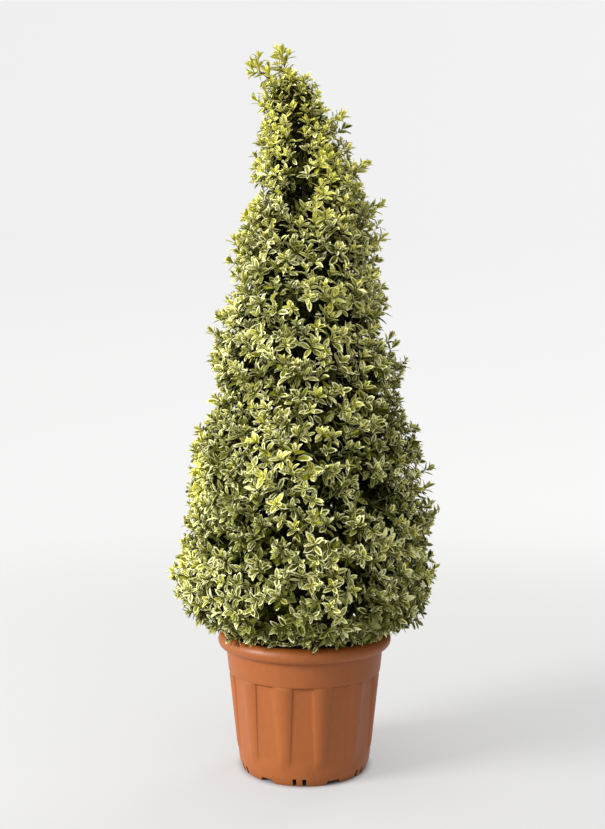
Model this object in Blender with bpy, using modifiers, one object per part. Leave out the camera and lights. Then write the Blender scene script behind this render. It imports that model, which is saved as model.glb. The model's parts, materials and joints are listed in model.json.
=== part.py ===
"""A variegated euonymus grown as a pyramid, in the round plastic pot that it is sold in.

Metres, +Z up. The origin is on the pot's axis, at the ground. The side that faces -Y is the
front, with +X to its right.

The pot is a turned wall with a rolled rim, a plain collar, ribs fused on below the collar,
and a notched skirt with pairs of drain slots. It is filled with compost, from which one
trunk rises inside the foliage. The foliage is a stack of tiers round the trunk, each tier
split into masses, with one more mass as the leader on the trunk's tip. A mass is a core that
twigs and pairs of leaves stand out of, all fused into one solid.
"""

import math
import random

import bmesh
import bpy
from mathutils import Matrix, Vector

# ---- Pot ----------------------------------------------------------------------------

POT_HEIGHT = 0.232
RIM_RADIUS = 0.150
RIM_ROLL_WIDTH = 0.0115  # how far the rolled rim stands out from its own middle
RIM_ROLL_HEIGHT = 0.025
RIM_ROLL_POINTS = 6
RIM_INSIDE = (0.0045, 0.005)  # inwards and down, to where the rim meets the pot's inside
COLLAR_TOP = (0.1358, 0.2062)  # radius and height, here and below
COLLAR_FOOT = (0.1318, 0.1675)
WALL_TOP = (0.1268, 0.1655)
WALL_FOOT = (0.1150, 0.0350)
SKIRT_TOP = (0.1124, 0.0130)
SKIRT_FOOT = (0.1078, 0.0)
SKIRT_WIDTH = 0.0038
WALL_THICKNESS = 0.0028
FLOOR_UNDERSIDE = 0.0085
FLOOR_TOP = 0.0115
FLOOR_DRAWN_IN = 0.0006  # the inside's radius at the floor, within the skirt's
INSIDE_TOP = (0.004, 0.008)  # inwards and down from the collar's top, on the inside
POT_SIDES = 48

RIB_COUNT = 12
RIB_STANDS_OUT = 0.0034
RIB_TOP_WIDTH = 0.034
RIB_FOOT_WIDTH = 0.018
RIB_CROWN = 0.0012  # how far a rib's middle stands proud of its edges
RIB_SUNK = 0.0016  # into the wall, so that the two fuse
RIB_FOOT_SUNK = 0.0006  # how far its outside dies into the wall at its foot
RIB_PAST = (0.004, 0.001)  # how far it runs on below the wall's foot and above its top
RIB_CUTS = 3
RIB_TURN = math.radians(-76.5)  # azimuth of the first rib

DRAIN_COUNT = 6
DRAIN_TURN = math.radians(-94.5)  # azimuth of the first pair of slots
SLOT_WIDTH = 0.0062
SLOT_HEIGHT = 0.0135
SLOT_SPACING = 0.0157
NOTCH_WIDTH = 0.031
NOTCH_TOP_WIDTH = 0.021
NOTCH_HEIGHT = 0.0075
CUT_DEPTH = 0.030  # radial length of a drain cutter
CUT_BELOW = 0.004  # how far a cutter runs below the pot

# ---- Compost and trunk --------------------------------------------------------------

GAP = 0.0003  # between neighbouring solids
COMPOST_GAP = 0.0008  # at the wall, where both solids have flat sides
COMPOST_HEIGHT = 0.210
COMPOST_FALL = 0.005  # from the middle of the compost to the wall
COMPOST_FLAT = 0.040
COMPOST_SIDES = 24

TRUNK_RADIUS = 0.0115
TRUNK_TIP_RADIUS = 0.0040
TRUNK_TOP = 0.998
TRUNK_FLARE = 0.65  # share added to the radius at the foot
TRUNK_FLARE_HEIGHT = 0.035
TRUNK_SWAY = 0.004
TRUNK_SWAY_ASIDE = 0.6  # of the sway is sideways too
TRUNK_SWAY_START = 0.25  # share of the trunk over which the sway sets in
TRUNK_POINTS = 14
TRUNK_CROWDING = 1.35  # power that draws its points together towards the foot

# ---- Crown --------------------------------------------------------------------------

CROWN_TOP = 1.249
CROWN_FOOT = 0.214
CROWN_RADIUS = 0.236
CROWN_POWER = 0.58  # the outline's radius goes as this power of the depth below the top
BELLY_HEIGHT = 0.330  # the crown turns under below this
BELLY_DEPTH = 0.135
LEAN = 0.047  # sideways, at the top, towards -X
LEAN_START = 0.980

# Where shears and growth left the outline full or hollow: the height, the azimuth in
# degrees, how far it stands out, and the heights and azimuths that it fades over.
SWELLS = (
    (1.100, -86, -0.022, 0.060, 20),
    (0.990, 178, -0.018, 0.018, 34),
    (0.966, 2, 0.014, 0.020, 34),
    (0.905, 4, 0.012, 0.014, 30),
    (0.960, -84, -0.020, 0.050, 16),
    (0.866, 0, -0.014, 0.016, 36),
    (0.832, 180, -0.019, 0.022, 36),
    (0.782, 182, 0.011, 0.014, 30),
    (0.757, -4, -0.016, 0.026, 36),
    (0.635, 176, -0.021, 0.026, 38),
    (0.690, 0, 0.008, 0.014, 30),
    (0.540, 180, 0.011, 0.030, 36),
    (0.535, 2, 0.014, 0.034, 34),
    (0.428, 0, 0.022, 0.020, 26),
    (0.424, 184, -0.012, 0.018, 30),
    (0.345, 178, 0.006, 0.030, 36),
    (0.700, -70, -0.014, 0.040, 15),
    (0.560, -108, 0.010, 0.040, 30),
    (0.470, -62, -0.012, 0.030, 16),
    (0.380, -95, 0.008, 0.040, 30),
    (0.880, 92, 0.012, 0.030, 34),
    (0.740, 60, -0.013, 0.026, 26),
    (0.600, 96, 0.012, 0.034, 34),
    (0.430, 122, -0.012, 0.024, 26),
    (0.400, 70, 0.009, 0.030, 34),
)

SWELL_SHARE = 12  # they fade to nothing at the top: full where this times the depth is 1

# Borders between tiers, from below: height, tilt, and the azimuth that it tilts up towards.
BORDERS = (
    (0.2370, 0.0, 0),
    (0.4450, 0.010, 200),
    (0.6400, 0.012, 40),
    (0.8480, 0.018, 0),
    (1.0060, 0.004, 0),
    (1.2800, 0.0, 0),
)
# name, number of masses round the trunk, azimuth of the first in degrees, kind of leaf
TIERS = (
    ("skirt", 4, -96, "old"),
    ("lower", 3, -122, "grown"),
    ("upper", 3, -104, "grown"),
    ("shoulder", 3, -26, "young"),
)
TWIST = 0.9  # how far a border between neighbours turns, in radians a metre of height
SEAM = 0.0006  # kept free on each side of a border between masses
LAP = 0.020  # how far a mass's leaves hang past its border, in front of the core below
LAP_CLEAR = 0.007  # between them and that core
RIM_PASS = 0.165  # leaves may hang past the rim, and at their lowest from this radius on
OVERHANG_FALL = 1.5  # how much lower for each metre out from the rim

CORE_INSET = 0.0012  # from a mass's borders to its core, at the sides
CORE_TUCK = 0.0020  # and above and below
CORE_DEPTH = 0.043  # from the crown's outline to the core
CORE_LEAST = 0.60  # a core's least radius as a share of the outline's
CORE_INNER = 0.022  # from the trunk's axis to a core
CORE_ROUND = 0.10  # how far its outer edges are drawn in, as a share of its radius
CORE_THINNEST = 0.012  # from its inside to its outside
CORE_NARROWEST = 0.2  # share of its width that always stays
CORE_CUTS = 3

# ---- Twigs and leaves ---------------------------------------------------------------

STEM_RADIUS = 0.0040
STEM_RISE = math.radians(35)
STEM_LEVEL = -0.5  # its foot's height in the mass, from -1 at the underside to 1
STEM_REACH = 0.5  # of the outline's radius
STEM_CLEAR = 0.0008  # more between its square-cut foot and the trunk
LIMB_TURN = Vector((0.3, 0.2, 1))  # which way round a limb's flat sides face
TWIG_RADIUS = 0.0032
TWIG_TIP_RADIUS = 0.0018
TWIG_SIDES = 3
TWIG_RISE = 0.36  # height gained for each metre outwards
TWIG_TIP_DEPTH = 0.0255  # from the crown's outline to a twig's tip
TWIG_SUNK = 0.030  # from the core's surface in to a twig's fork
FORK_TUCK = 0.016  # from the mass's underside up to the lowest forks
ROW_SPACING = 0.077  # of twigs' tips, up the crown
SPRAY_SPACING = 0.102  # and round it
SPRAY_JITTER = 0.16  # as a share of the spacing
ROW_SHIFT = 0.3  # of a column, to the right and to the left in turn
ROWS_SPREAD = 0.98  # share of the mass's height and width that the tips spread over
COLUMNS_SPREAD = 0.94
COLUMN_LIMIT = 0.82
FORK_DRAWN_IN = 0.94  # a fork's way out from the mass's middle, as a share of its tip's

# Each pair of leaves on a twig, from the tip back: distance from the tip, length, spread.
LEAF_PAIRS = (
    (0.0022, 0.047, math.radians(44)),
    (0.0080, 0.062, math.radians(60)),
    (0.0140, 0.068, math.radians(71)),
)
LEAF_WIDTH = 0.50  # as a share of its length, as are the next three
LEAF_KEEL = 0.030  # the midrib's keel, below
LEAF_CUP = 0.015  # the margins, above
LEAF_WIDEST = 0.56  # from the root
LEAF_SUNK = 0.0008  # from a twig's middle to the root of a leaf, away from its tip
LEAF_VARIATION = 0.12
LEAF_LEAN = 0.12  # by which its spread varies, in radians
PAIR_TURN = 0.25  # by which a pair's turn from the last varies, in radians
LEAF_SLACK = 0.005  # how far a leaf's tip may pass the outline
LEAF_SHARES = (1.0, 0.88, 0.76)  # of its length, tried in turn where it doesn't fit
LEAF_APART = 0.017  # between the middles of leaves on different twigs
LEAF_BARE = 0.010  # how far a leaf's tip stands out of the core at least

LEADER_HEART = 1.160  # the height that the leader's own shoots spring from
LEADER_TWIGS = 11
LEADER_TWIG_SIZE = 0.74
LEADER_TWIG_LEAST = 0.66  # a twig's least reach as a share of the outline's radius
LEADER_TWIG_LOWEST = 0.034  # the lowest tip above the leader's foot
LEADER_TWIG_HIGHEST = 0.008  # and the highest above its heart
LEADER_TWIG_TURN = 0.2  # by which a twig's azimuth varies, in radians
LEADER_TWIG_RISE = 0.8  # height gained for each metre outwards
LEADER_FORK_CLEAR = 0.030  # from the trunk's tip up to the lowest forks
LEADER_FORK_OUT = 0.002  # from the leader's axis
LEADER_CORE_ENDS = (0.005, 0.006)  # above the leader's foot and below its heart
LEADER_CORE_SIDES = 9
LEADER_CORE_TAPER = (1, 0.54)  # its radius at the foot and at the top, before the outline's
# The leader's own shoots: how far each leans, towards which azimuth, and its length.
LEADER_SHOOTS = (
    (15, 180, 0.084),
    (57, 184, 0.078),
    (34, 12, 0.046),
    (38, 270, 0.044),
    (38, 96, 0.046),
)
SHOOT_SUNK = 0.010  # from the heart back to a shoot's fork
SHOOT_SIZE = 0.60  # of its leaves
SHOOT_SLACK = 0.040  # how far they may pass the outline

SEED = 11

# Colour and roughness
PLASTIC = ((0.440, 0.150, 0.052), 0.46)
COMPOST = ((0.030, 0.022, 0.016), 0.95)
BARK = ((0.190, 0.135, 0.085), 0.85)
YOUNG_LEAF = ((0.370, 0.370, 0.115), 0.50)
LEAF = ((0.240, 0.255, 0.085), 0.55)
OLD_LEAF = ((0.230, 0.245, 0.110), 0.60)


# ---- Helpers ------------------------------------------------------------------------


def clear_scene():
    for obj in list(bpy.data.objects):
        bpy.data.objects.remove(obj)


def new_collection(name, hidden=False):
    collection = bpy.data.collections.new(name)
    collection.hide_render = hidden
    bpy.context.scene.collection.children.link(collection)
    return collection


def material(name, finish):
    """A plain Principled material of this colour and roughness."""
    colour, roughness = finish
    made = bpy.data.materials.new(name)
    made.use_nodes = True
    shader = made.node_tree.nodes["Principled BSDF"]
    shader.inputs["Base Color"].default_value = (*colour, 1.0)
    shader.inputs["Roughness"].default_value = roughness
    return made


def new_object(name, mesh, collection, finish=None):
    obj = bpy.data.objects.new(name, mesh)
    collection.objects.link(obj)
    if finish:
        mesh.materials.append(finish)
    return obj


def mesh_from(bm, name):
    """The mesh, with its faces turned outwards."""
    bm.normal_update()
    bmesh.ops.recalc_face_normals(bm, faces=bm.faces)
    mesh = bpy.data.meshes.new(name)
    bm.to_mesh(mesh)
    bm.free()
    return mesh


def as_guide(obj):
    obj.hide_render = True
    obj.display_type = "WIRE"
    return obj


def frame_along(direction, across):
    """A rotation whose Z runs along direction and whose X lies as near across as it can."""
    z = direction.normalized()
    x = (across - z * across.dot(z)).normalized()
    return Matrix((x, z.cross(x), z)).transposed()


def outwards(azimuth):
    return Vector((math.cos(azimuth), math.sin(azimuth), 0))


def mix(low, high, share):
    return low + (high - low) * share


def smooth(mesh, angle=math.radians(35)):
    mesh.shade_smooth()
    mesh.set_sharp_from_angle(angle=angle)


# ---- Turned shapes ------------------------------------------------------------------


def turned(name, profile, sides, collection, finish):
    """A profile of (radius, height) points, from the axis and back to it, turned about Z."""
    mesh = bpy.data.meshes.new(name)
    points = [(radius, 0, height) for radius, height in profile]
    mesh.from_pydata(points, [(i, i + 1) for i in range(len(points) - 1)], [])
    obj = new_object(name, mesh, collection, finish)
    screw = obj.modifiers.new("Turn", "SCREW")
    screw.axis = "Z"
    screw.angle = math.tau
    screw.steps = sides
    screw.render_steps = sides
    screw.use_merge_vertices = True
    screw.merge_threshold = 0.00001
    screw.use_smooth_shade = True
    return obj


def wall_radius(height):
    """The outer radius of the wall between the ribs, at a height between its foot and top."""
    share = (height - WALL_FOOT[1]) / (WALL_TOP[1] - WALL_FOOT[1])
    return mix(WALL_FOOT[0], WALL_TOP[0], share)


def inner_profile(inset):
    """The pot's inside from its floor up, moved inwards by inset, as (radius, height) points."""
    moved = WALL_THICKNESS + inset
    return [
        (SKIRT_TOP[0] - moved - FLOOR_DRAWN_IN, FLOOR_TOP),
        (WALL_FOOT[0] - moved, WALL_FOOT[1]),
        (WALL_TOP[0] - moved, WALL_TOP[1]),
        (COLLAR_TOP[0] - moved - INSIDE_TOP[0], COLLAR_TOP[1] - INSIDE_TOP[1]),
    ]


def rim_roll():
    """The rolled rim as a half ellipse, from its top round the outside to its underside."""
    middle = RIM_RADIUS - RIM_ROLL_WIDTH
    height = POT_HEIGHT - RIM_ROLL_HEIGHT / 2
    points = []
    for i in range(RIM_ROLL_POINTS):
        turn = math.radians(90 - 180 * i / (RIM_ROLL_POINTS - 1))
        points.append(
            (
                middle + RIM_ROLL_WIDTH * math.cos(turn),
                height + RIM_ROLL_HEIGHT / 2 * math.sin(turn),
            )
        )
    return points


def rib_mesh():
    """One rib, on the +X side: a long block that narrows and dies into the wall at its foot."""
    bm = bmesh.new()
    bmesh.ops.create_cube(bm, size=2)
    upright = [e for e in bm.edges if abs(e.verts[0].co.y - e.verts[1].co.y) > 1]
    bmesh.ops.subdivide_edges(bm, edges=upright, cuts=RIB_CUTS, use_grid_fill=True)
    for vert in bm.verts:
        across, out, up = vert.co.y, (vert.co.x + 1) / 2, (vert.co.z + 1) / 2
        height = mix(WALL_FOOT[1] - RIB_PAST[0], WALL_TOP[1] + RIB_PAST[1], up)
        stand = mix(-RIB_FOOT_SUNK, RIB_STANDS_OUT, up)
        stand += RIB_CROWN * (1 - across * across) * up
        half = mix(RIB_FOOT_WIDTH, RIB_TOP_WIDTH, up) / 2
        base = wall_radius(height)
        angle = across * half / base
        radius = base + mix(-RIB_SUNK, stand, out)
        vert.co = outwards(angle) * radius + Vector((0, 0, height))
    return mesh_from(bm, "rib")


def drain_cutter_mesh(name, width, top_width, height):
    """A block through the skirt on the +X side, from below the pot up to height."""
    bm = bmesh.new()
    bmesh.ops.create_cube(bm, size=1)
    for vert in bm.verts:
        top = vert.co.z > 0
        vert.co.x = vert.co.x * CUT_DEPTH + SKIRT_FOOT[0]
        vert.co.y *= top_width if top else width
        vert.co.z = height if top else -CUT_BELOW
    return mesh_from(bm, name)


def boolean(obj, operation, collection, solver="EXACT"):
    modifier = obj.modifiers.new(operation.title(), "BOOLEAN")
    modifier.operation = operation
    modifier.operand_type = "COLLECTION"
    modifier.collection = collection
    modifier.solver = solver
    return modifier


def make_pot(parts, finish):
    ring = SKIRT_FOOT[0] - SKIRT_WIDTH
    profile = [(0, FLOOR_TOP), *inner_profile(0)]
    inwards, down = RIM_INSIDE
    profile.append((RIM_RADIUS - RIM_ROLL_WIDTH - inwards, POT_HEIGHT - down))
    profile += rim_roll()
    profile += [COLLAR_TOP, COLLAR_FOOT, WALL_TOP, WALL_FOOT, SKIRT_TOP, SKIRT_FOOT]
    profile += [(ring, 0), (ring, FLOOR_UNDERSIDE), (0, FLOOR_UNDERSIDE)]
    pot = turned("pot", profile, POT_SIDES, parts, finish)

    ribs = new_collection("pot ribs", hidden=True)
    rib = rib_mesh()
    for i in range(RIB_COUNT):
        obj = as_guide(new_object(f"rib {i}", rib, ribs))
        obj.rotation_euler.z = RIB_TURN + math.tau * i / RIB_COUNT
    drains = new_collection("pot drains", hidden=True)
    slot = drain_cutter_mesh("slot", SLOT_WIDTH, SLOT_WIDTH, SLOT_HEIGHT)
    notch = drain_cutter_mesh("notch", NOTCH_WIDTH, NOTCH_TOP_WIDTH, NOTCH_HEIGHT)
    for i in range(DRAIN_COUNT):
        turn = DRAIN_TURN + math.tau * i / DRAIN_COUNT
        for side in (-1, 1):
            obj = as_guide(new_object(f"slot {i} {side}", slot, drains))
            obj.rotation_euler.z = turn + side * SLOT_SPACING / 2 / SKIRT_FOOT[0]
        obj = as_guide(new_object(f"notch {i}", notch, drains))
        obj.rotation_euler.z = turn + math.pi / DRAIN_COUNT
    boolean(pot, "UNION", ribs)
    boolean(pot, "DIFFERENCE", drains)
    return pot


def make_compost(parts, finish):
    inside = inner_profile(COMPOST_GAP)
    edge = COMPOST_HEIGHT - COMPOST_FALL
    foot = (inside[0][0], FLOOR_TOP + GAP)
    below, above = inside[2], inside[3]
    share = (edge - below[1]) / (above[1] - below[1])
    rim = (mix(below[0], above[0], min(share, 1)), edge)
    profile = [(0, COMPOST_HEIGHT), (COMPOST_FLAT, COMPOST_HEIGHT), rim]
    profile += [below, inside[1], foot, (0, foot[1])]
    return turned("compost", profile, COMPOST_SIDES, parts, finish)


# ---- Trunk --------------------------------------------------------------------------


def crown_centre(height):
    """The crown's middle at this height: upright, then leaning towards -X near the top."""
    share = max(0.0, (height - LEAN_START) / (CROWN_TOP - LEAN_START))
    return Vector((-LEAN * share * share, 0, height))


def trunk_point(height):
    """The trunk's axis: a slow sway that starts at the pot's axis and ends at the leader."""
    share = (height - COMPOST_HEIGHT) / (TRUNK_TOP - COMPOST_HEIGHT)
    sway = TRUNK_SWAY * math.sin(math.tau * share) * min(1, share / TRUNK_SWAY_START)
    return crown_centre(height) + Vector((sway * TRUNK_SWAY_ASIDE, -sway, 0))


def trunk_radius(height):
    share = (height - COMPOST_HEIGHT) / (TRUNK_TOP - COMPOST_HEIGHT)
    flare = TRUNK_FLARE * math.exp(-(height - COMPOST_HEIGHT) / TRUNK_FLARE_HEIGHT)
    return mix(TRUNK_RADIUS, TRUNK_TIP_RADIUS, share) + TRUNK_RADIUS * flare


def make_trunk(parts, finish):
    """A tapering limb along trunk_point, cut flat just above the compost."""
    curve = bpy.data.curves.new("trunk", "CURVE")
    curve.dimensions = "3D"
    curve.bevel_depth = 1.0
    curve.bevel_resolution = 2
    curve.use_fill_caps = True
    spline = curve.splines.new("POLY")
    spline.points.add(TRUNK_POINTS - 1)
    foot = COMPOST_HEIGHT + GAP
    for i, point in enumerate(spline.points):
        share = i / (TRUNK_POINTS - 1)
        height = mix(foot, TRUNK_TOP, share**TRUNK_CROWDING)
        point.co = (*trunk_point(height), 1)
        point.radius = trunk_radius(height)
    spline.points[0].co = (*trunk_point(spline.points[1].co[2])[:2], foot, 1)
    obj = bpy.data.objects.new("trunk", curve)
    curve.materials.append(finish)
    parts.objects.link(obj)
    return obj


# ---- The crown's outline ------------------------------------------------------------


def turn_between(azimuth, other):
    """The turn from other to azimuth, from -pi to pi."""
    return (azimuth - other + math.pi) % math.tau - math.pi


def swell(height, azimuth):
    """What every swell and hollow adds here: each fades with the square of the distance."""
    total = 0.0
    for middle, facing, size, tall, wide in SWELLS:
        up = (height - middle) / tall
        turn = turn_between(azimuth, math.radians(facing)) / math.radians(wide)
        total += size * math.exp(-(up * up + turn * turn) / 2)
    return total


def crown_radius(height, azimuth):
    """The outline's radius: a power of the depth below the top, turned under at the belly."""
    depth = (CROWN_TOP - height) / (CROWN_TOP - CROWN_FOOT)
    radius = CROWN_RADIUS * max(depth, 0.0) ** CROWN_POWER
    radius += swell(height, azimuth) * min(1.0, depth * SWELL_SHARE)
    if height < BELLY_HEIGHT:
        under = min(1.0, (BELLY_HEIGHT - height) / BELLY_DEPTH)
        radius *= math.sqrt(1 - under * under)
    return radius


def border_height(number, azimuth):
    """The height of a border between tiers, on this side of the trunk."""
    height, tilt, facing = BORDERS[number]
    return height + tilt * math.cos(azimuth - math.radians(facing))


class Space:
    """The room that one mass keeps to: a slice of a tier, from the trunk to the outline.

    u runs from -1 to 1 across it and v from -1 to 1 up it.
    """

    def __init__(self, name, tier, count, facing):
        self.name = name
        self.tier = tier
        self.facing = facing
        self.half = math.pi / count
        self.whole = count == 1
        self.level = (BORDERS[tier][0] + BORDERS[tier + 1][0]) / 2

    def azimuth(self, u, height):
        """Borders between neighbours twist as they rise."""
        return self.facing + u * self.half + TWIST * (height - self.level)

    def heights(self, azimuth):
        """The lowest and the highest that the mass goes on this side of the trunk."""
        return border_height(self.tier, azimuth), border_height(self.tier + 1, azimuth)

    def height(self, u, v):
        lowest = border_height(self.tier, self.azimuth(u, BORDERS[self.tier][0]))
        above = self.tier + 1
        highest = border_height(above, self.azimuth(u, BORDERS[above][0]))
        return mix(lowest, highest, (v + 1) / 2)

    def reach(self, u, height):
        """How far the crown's outline is from its middle."""
        return crown_radius(height, self.azimuth(u, height))

    def point(self, u, height, radius):
        """The point this far out from the crown's middle."""
        return crown_centre(height) + outwards(self.azimuth(u, height)) * radius

    def across(self, point):
        """(u, azimuth, distance from the crown's middle) of a point."""
        off = point - crown_centre(point.z)
        azimuth = math.atan2(off.y, off.x)
        turn = turn_between(azimuth, self.azimuth(0, point.z))
        return turn / self.half, azimuth, math.hypot(off.x, off.y)

    def holds(self, point, slack):
        """Whether the mass may reach this point without leaving its space."""
        u, azimuth, radius = self.across(point)
        lowest, highest = self.heights(azimuth)
        outline = crown_radius(point.z, azimuth)
        if self.tier == 0:
            past = min(max(radius - RIM_RADIUS, 0.0), RIM_PASS - RIM_RADIUS)
            lowest -= OVERHANG_FALL * past
        elif radius > core_radius(outline) + LAP_CLEAR:
            lowest -= LAP
        if not lowest + SEAM < point.z < highest - LAP - SEAM:
            return False
        if not self.whole and (1 - abs(u)) * self.half * radius < SEAM:
            return False
        return radius < outline + slack

    def buries(self, point):
        """Whether the core would hide this point, or nearly."""
        u, azimuth, radius = self.across(point)
        return radius < core_radius(crown_radius(point.z, azimuth)) + LEAF_BARE


def core_radius(outline):
    return max(outline - CORE_DEPTH, outline * CORE_LEAST)


def core_mesh(space):
    """A block bent to its space, short of its borders, with its outer edges drawn in."""
    bm = bmesh.new()
    bmesh.ops.create_cube(bm, size=2)
    long_edges = [e for e in bm.edges if abs(e.verts[0].co.y - e.verts[1].co.y) < 1]
    bmesh.ops.subdivide_edges(bm, edges=long_edges, cuts=CORE_CUTS, use_grid_fill=True)
    for vert in bm.verts:
        u, out, v = vert.co.x, (vert.co.y + 1) / 2, vert.co.z
        height = space.height(u, v) - v * CORE_TUCK
        edge = (u**4 + v**4) / 2
        outer = core_radius(space.reach(u, height)) * (1 - CORE_ROUND * edge)
        radius = mix(CORE_INNER, max(outer, CORE_INNER + CORE_THINNEST), out)
        drawn_in = u * max(CORE_NARROWEST, 1 - CORE_INSET / (radius * space.half))
        vert.co = space.point(drawn_in, height, radius)
    return mesh_from(bm, space.name)


# ---- Twigs and leaves ---------------------------------------------------------------


def leaf_mesh():
    """A leaf one metre long: root at the origin, tip on +Z, folded along its midrib.

    It has three long edges, which are its two margins and the keel of its midrib.
    """
    bm = bmesh.new()
    bmesh.ops.create_uvsphere(bm, u_segments=3, v_segments=2, radius=1)
    for vert in bm.verts:
        x, y, z = vert.co
        if abs(z) > 0.5:
            vert.co = (0, 0, 1 if z > 0 else 0)
        elif abs(x) < 0.1:
            vert.co = (0, -LEAF_KEEL, LEAF_WIDEST)
        else:
            side = 1 if x > 0 else -1
            vert.co = (side * LEAF_WIDTH / 2, LEAF_CUP, LEAF_WIDEST)
    return mesh_from(bm, "leaf")


def twig_mesh():
    """A twig one metre long on +Z, one metre wide at its root, that tapers to its tip."""
    bm = bmesh.new()
    bmesh.ops.create_cone(
        bm,
        cap_ends=True,
        segments=TWIG_SIDES,
        radius1=1,
        radius2=TWIG_TIP_RADIUS / TWIG_RADIUS,
        depth=1,
        matrix=Matrix.Translation((0, 0, 0.5)),
    )
    return mesh_from(bm, "twig")


class Growth:
    """Twigs and leaves of one mass, each its own closed object until they are fused."""

    def __init__(self, space, shapes):
        self.space = space
        self.random = random.Random(f"{SEED} {space.name}")
        self.leaf, self.twig = shapes
        corners = [vert.co for vert in self.leaf.vertices]
        ends = [edge.vertices for edge in self.leaf.edges]
        self.probes = corners + [(corners[a] + corners[b]) / 2 for a, b in ends]
        self.collection = new_collection(f"{space.name} growth", hidden=True)
        self.middles = []  # of the leaves on earlier twigs

    def add(self, mesh, matrix):
        name = f"{self.space.name} growth {len(self.collection.objects)}"
        obj = new_object(name, mesh, self.collection)
        obj.matrix_world = matrix

    def limb(self, start, end, radius):
        """A tapering limb between two points."""
        along = end - start
        turn = frame_along(along, LIMB_TURN.cross(along))
        size = Matrix.Diagonal((radius, radius, along.length, 1))
        self.add(self.twig, Matrix.Translation(start) @ turn.to_4x4() @ size)

    def leaf_at(self, root, direction, across, length, slack):
        """The largest leaf that fits, or none where the smallest would leave the space."""
        middle = root + direction * length * LEAF_WIDEST
        if any((middle - other).length < LEAF_APART for other in self.middles):
            return None
        turn = frame_along(direction, across).to_4x4()
        start = Matrix.Translation(root - direction * LEAF_SUNK)
        for share in LEAF_SHARES:
            matrix = start @ turn @ Matrix.Scale(length * share, 4)
            if self.space.buries(matrix @ Vector((0, 0, 1))):
                return None
            if all(self.space.holds(matrix @ point, slack) for point in self.probes):
                self.add(self.leaf, matrix)
                return middle
        return None

    def spray(self, fork, tip, size=1.0, slack=LEAF_SLACK):
        """A twig from fork to tip, with opposite pairs of leaves set crosswise near its tip."""
        self.limb(fork, tip, TWIG_RADIUS)
        along = (tip - fork).normalized()
        side = along.cross(Vector((0, 0, 1))).normalized()
        phase = self.random.uniform(0, math.pi)
        grown = []
        for back, length, spread in LEAF_PAIRS:
            turn = Matrix.Rotation(phase, 3, along)
            phase += math.pi / 2 + self.random.uniform(-PAIR_TURN, PAIR_TURN)
            for sign in (-1, 1):
                out = turn @ side * sign
                lean = spread + self.random.uniform(-LEAF_LEAN, LEAF_LEAN)
                direction = along * math.cos(lean) + out * math.sin(lean)
                long = length * size
                long *= 1 + self.random.uniform(-LEAF_VARIATION, LEAF_VARIATION)
                root = tip - along * back * size
                across = along.cross(out)
                grown.append(self.leaf_at(root, direction, across, long, slack))
        self.middles += [middle for middle in grown if middle]


def grow_on_trunk(growth):
    """Stem, twigs and leaves of a mass beside the trunk.

    The stem rises from beside the trunk to the mass's heart, inside the core. Rows of twigs
    fork off in the core and spread evenly over the mass's outside.
    """
    space, rand = growth.space, growth.random
    level = space.height(0, STEM_LEVEL)
    towards = outwards(space.facing)
    beside = trunk_radius(level) + GAP + STEM_RADIUS * math.sin(STEM_RISE) + STEM_CLEAR
    foot = trunk_point(level) + towards * beside
    long = (space.reach(0, level) * STEM_REACH - beside) / math.cos(STEM_RISE)
    rise = towards * math.cos(STEM_RISE) + Vector((0, 0, math.sin(STEM_RISE)))
    growth.limb(foot, foot + rise * long, STEM_RADIUS)

    jitter = ROW_SPACING * SPRAY_JITTER
    tall = BORDERS[space.tier + 1][0] - BORDERS[space.tier][0]
    rows = max(1, round(tall / ROW_SPACING))
    for row in range(rows):
        v = ((row + 0.5) * 2 / rows - 1) * ROWS_SPREAD
        width = 2 * space.half * space.reach(0, space.height(0, v))
        columns = max(2, round(width / SPRAY_SPACING))
        for column in range(columns):
            shift = ROW_SHIFT * (-1) ** row / columns
            u = ((column + 0.5) * 2 / columns - 1 + shift) * COLUMNS_SPREAD
            u += rand.uniform(-jitter, jitter) * 2 / width
            u = max(-COLUMN_LIMIT, min(COLUMN_LIMIT, u))
            tip_height = space.height(u, v) + rand.uniform(-jitter, jitter)
            outline = space.reach(u, tip_height)
            reach = outline - TWIG_TIP_DEPTH
            inside = core_radius(outline) - TWIG_SUNK
            fork_height = tip_height - TWIG_RISE * (reach - inside)
            fork_height = max(fork_height, space.height(u, -1) + FORK_TUCK)
            fork = space.point(u * FORK_DRAWN_IN, fork_height, inside)
            growth.spray(fork, space.point(u, tip_height, reach))


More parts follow.
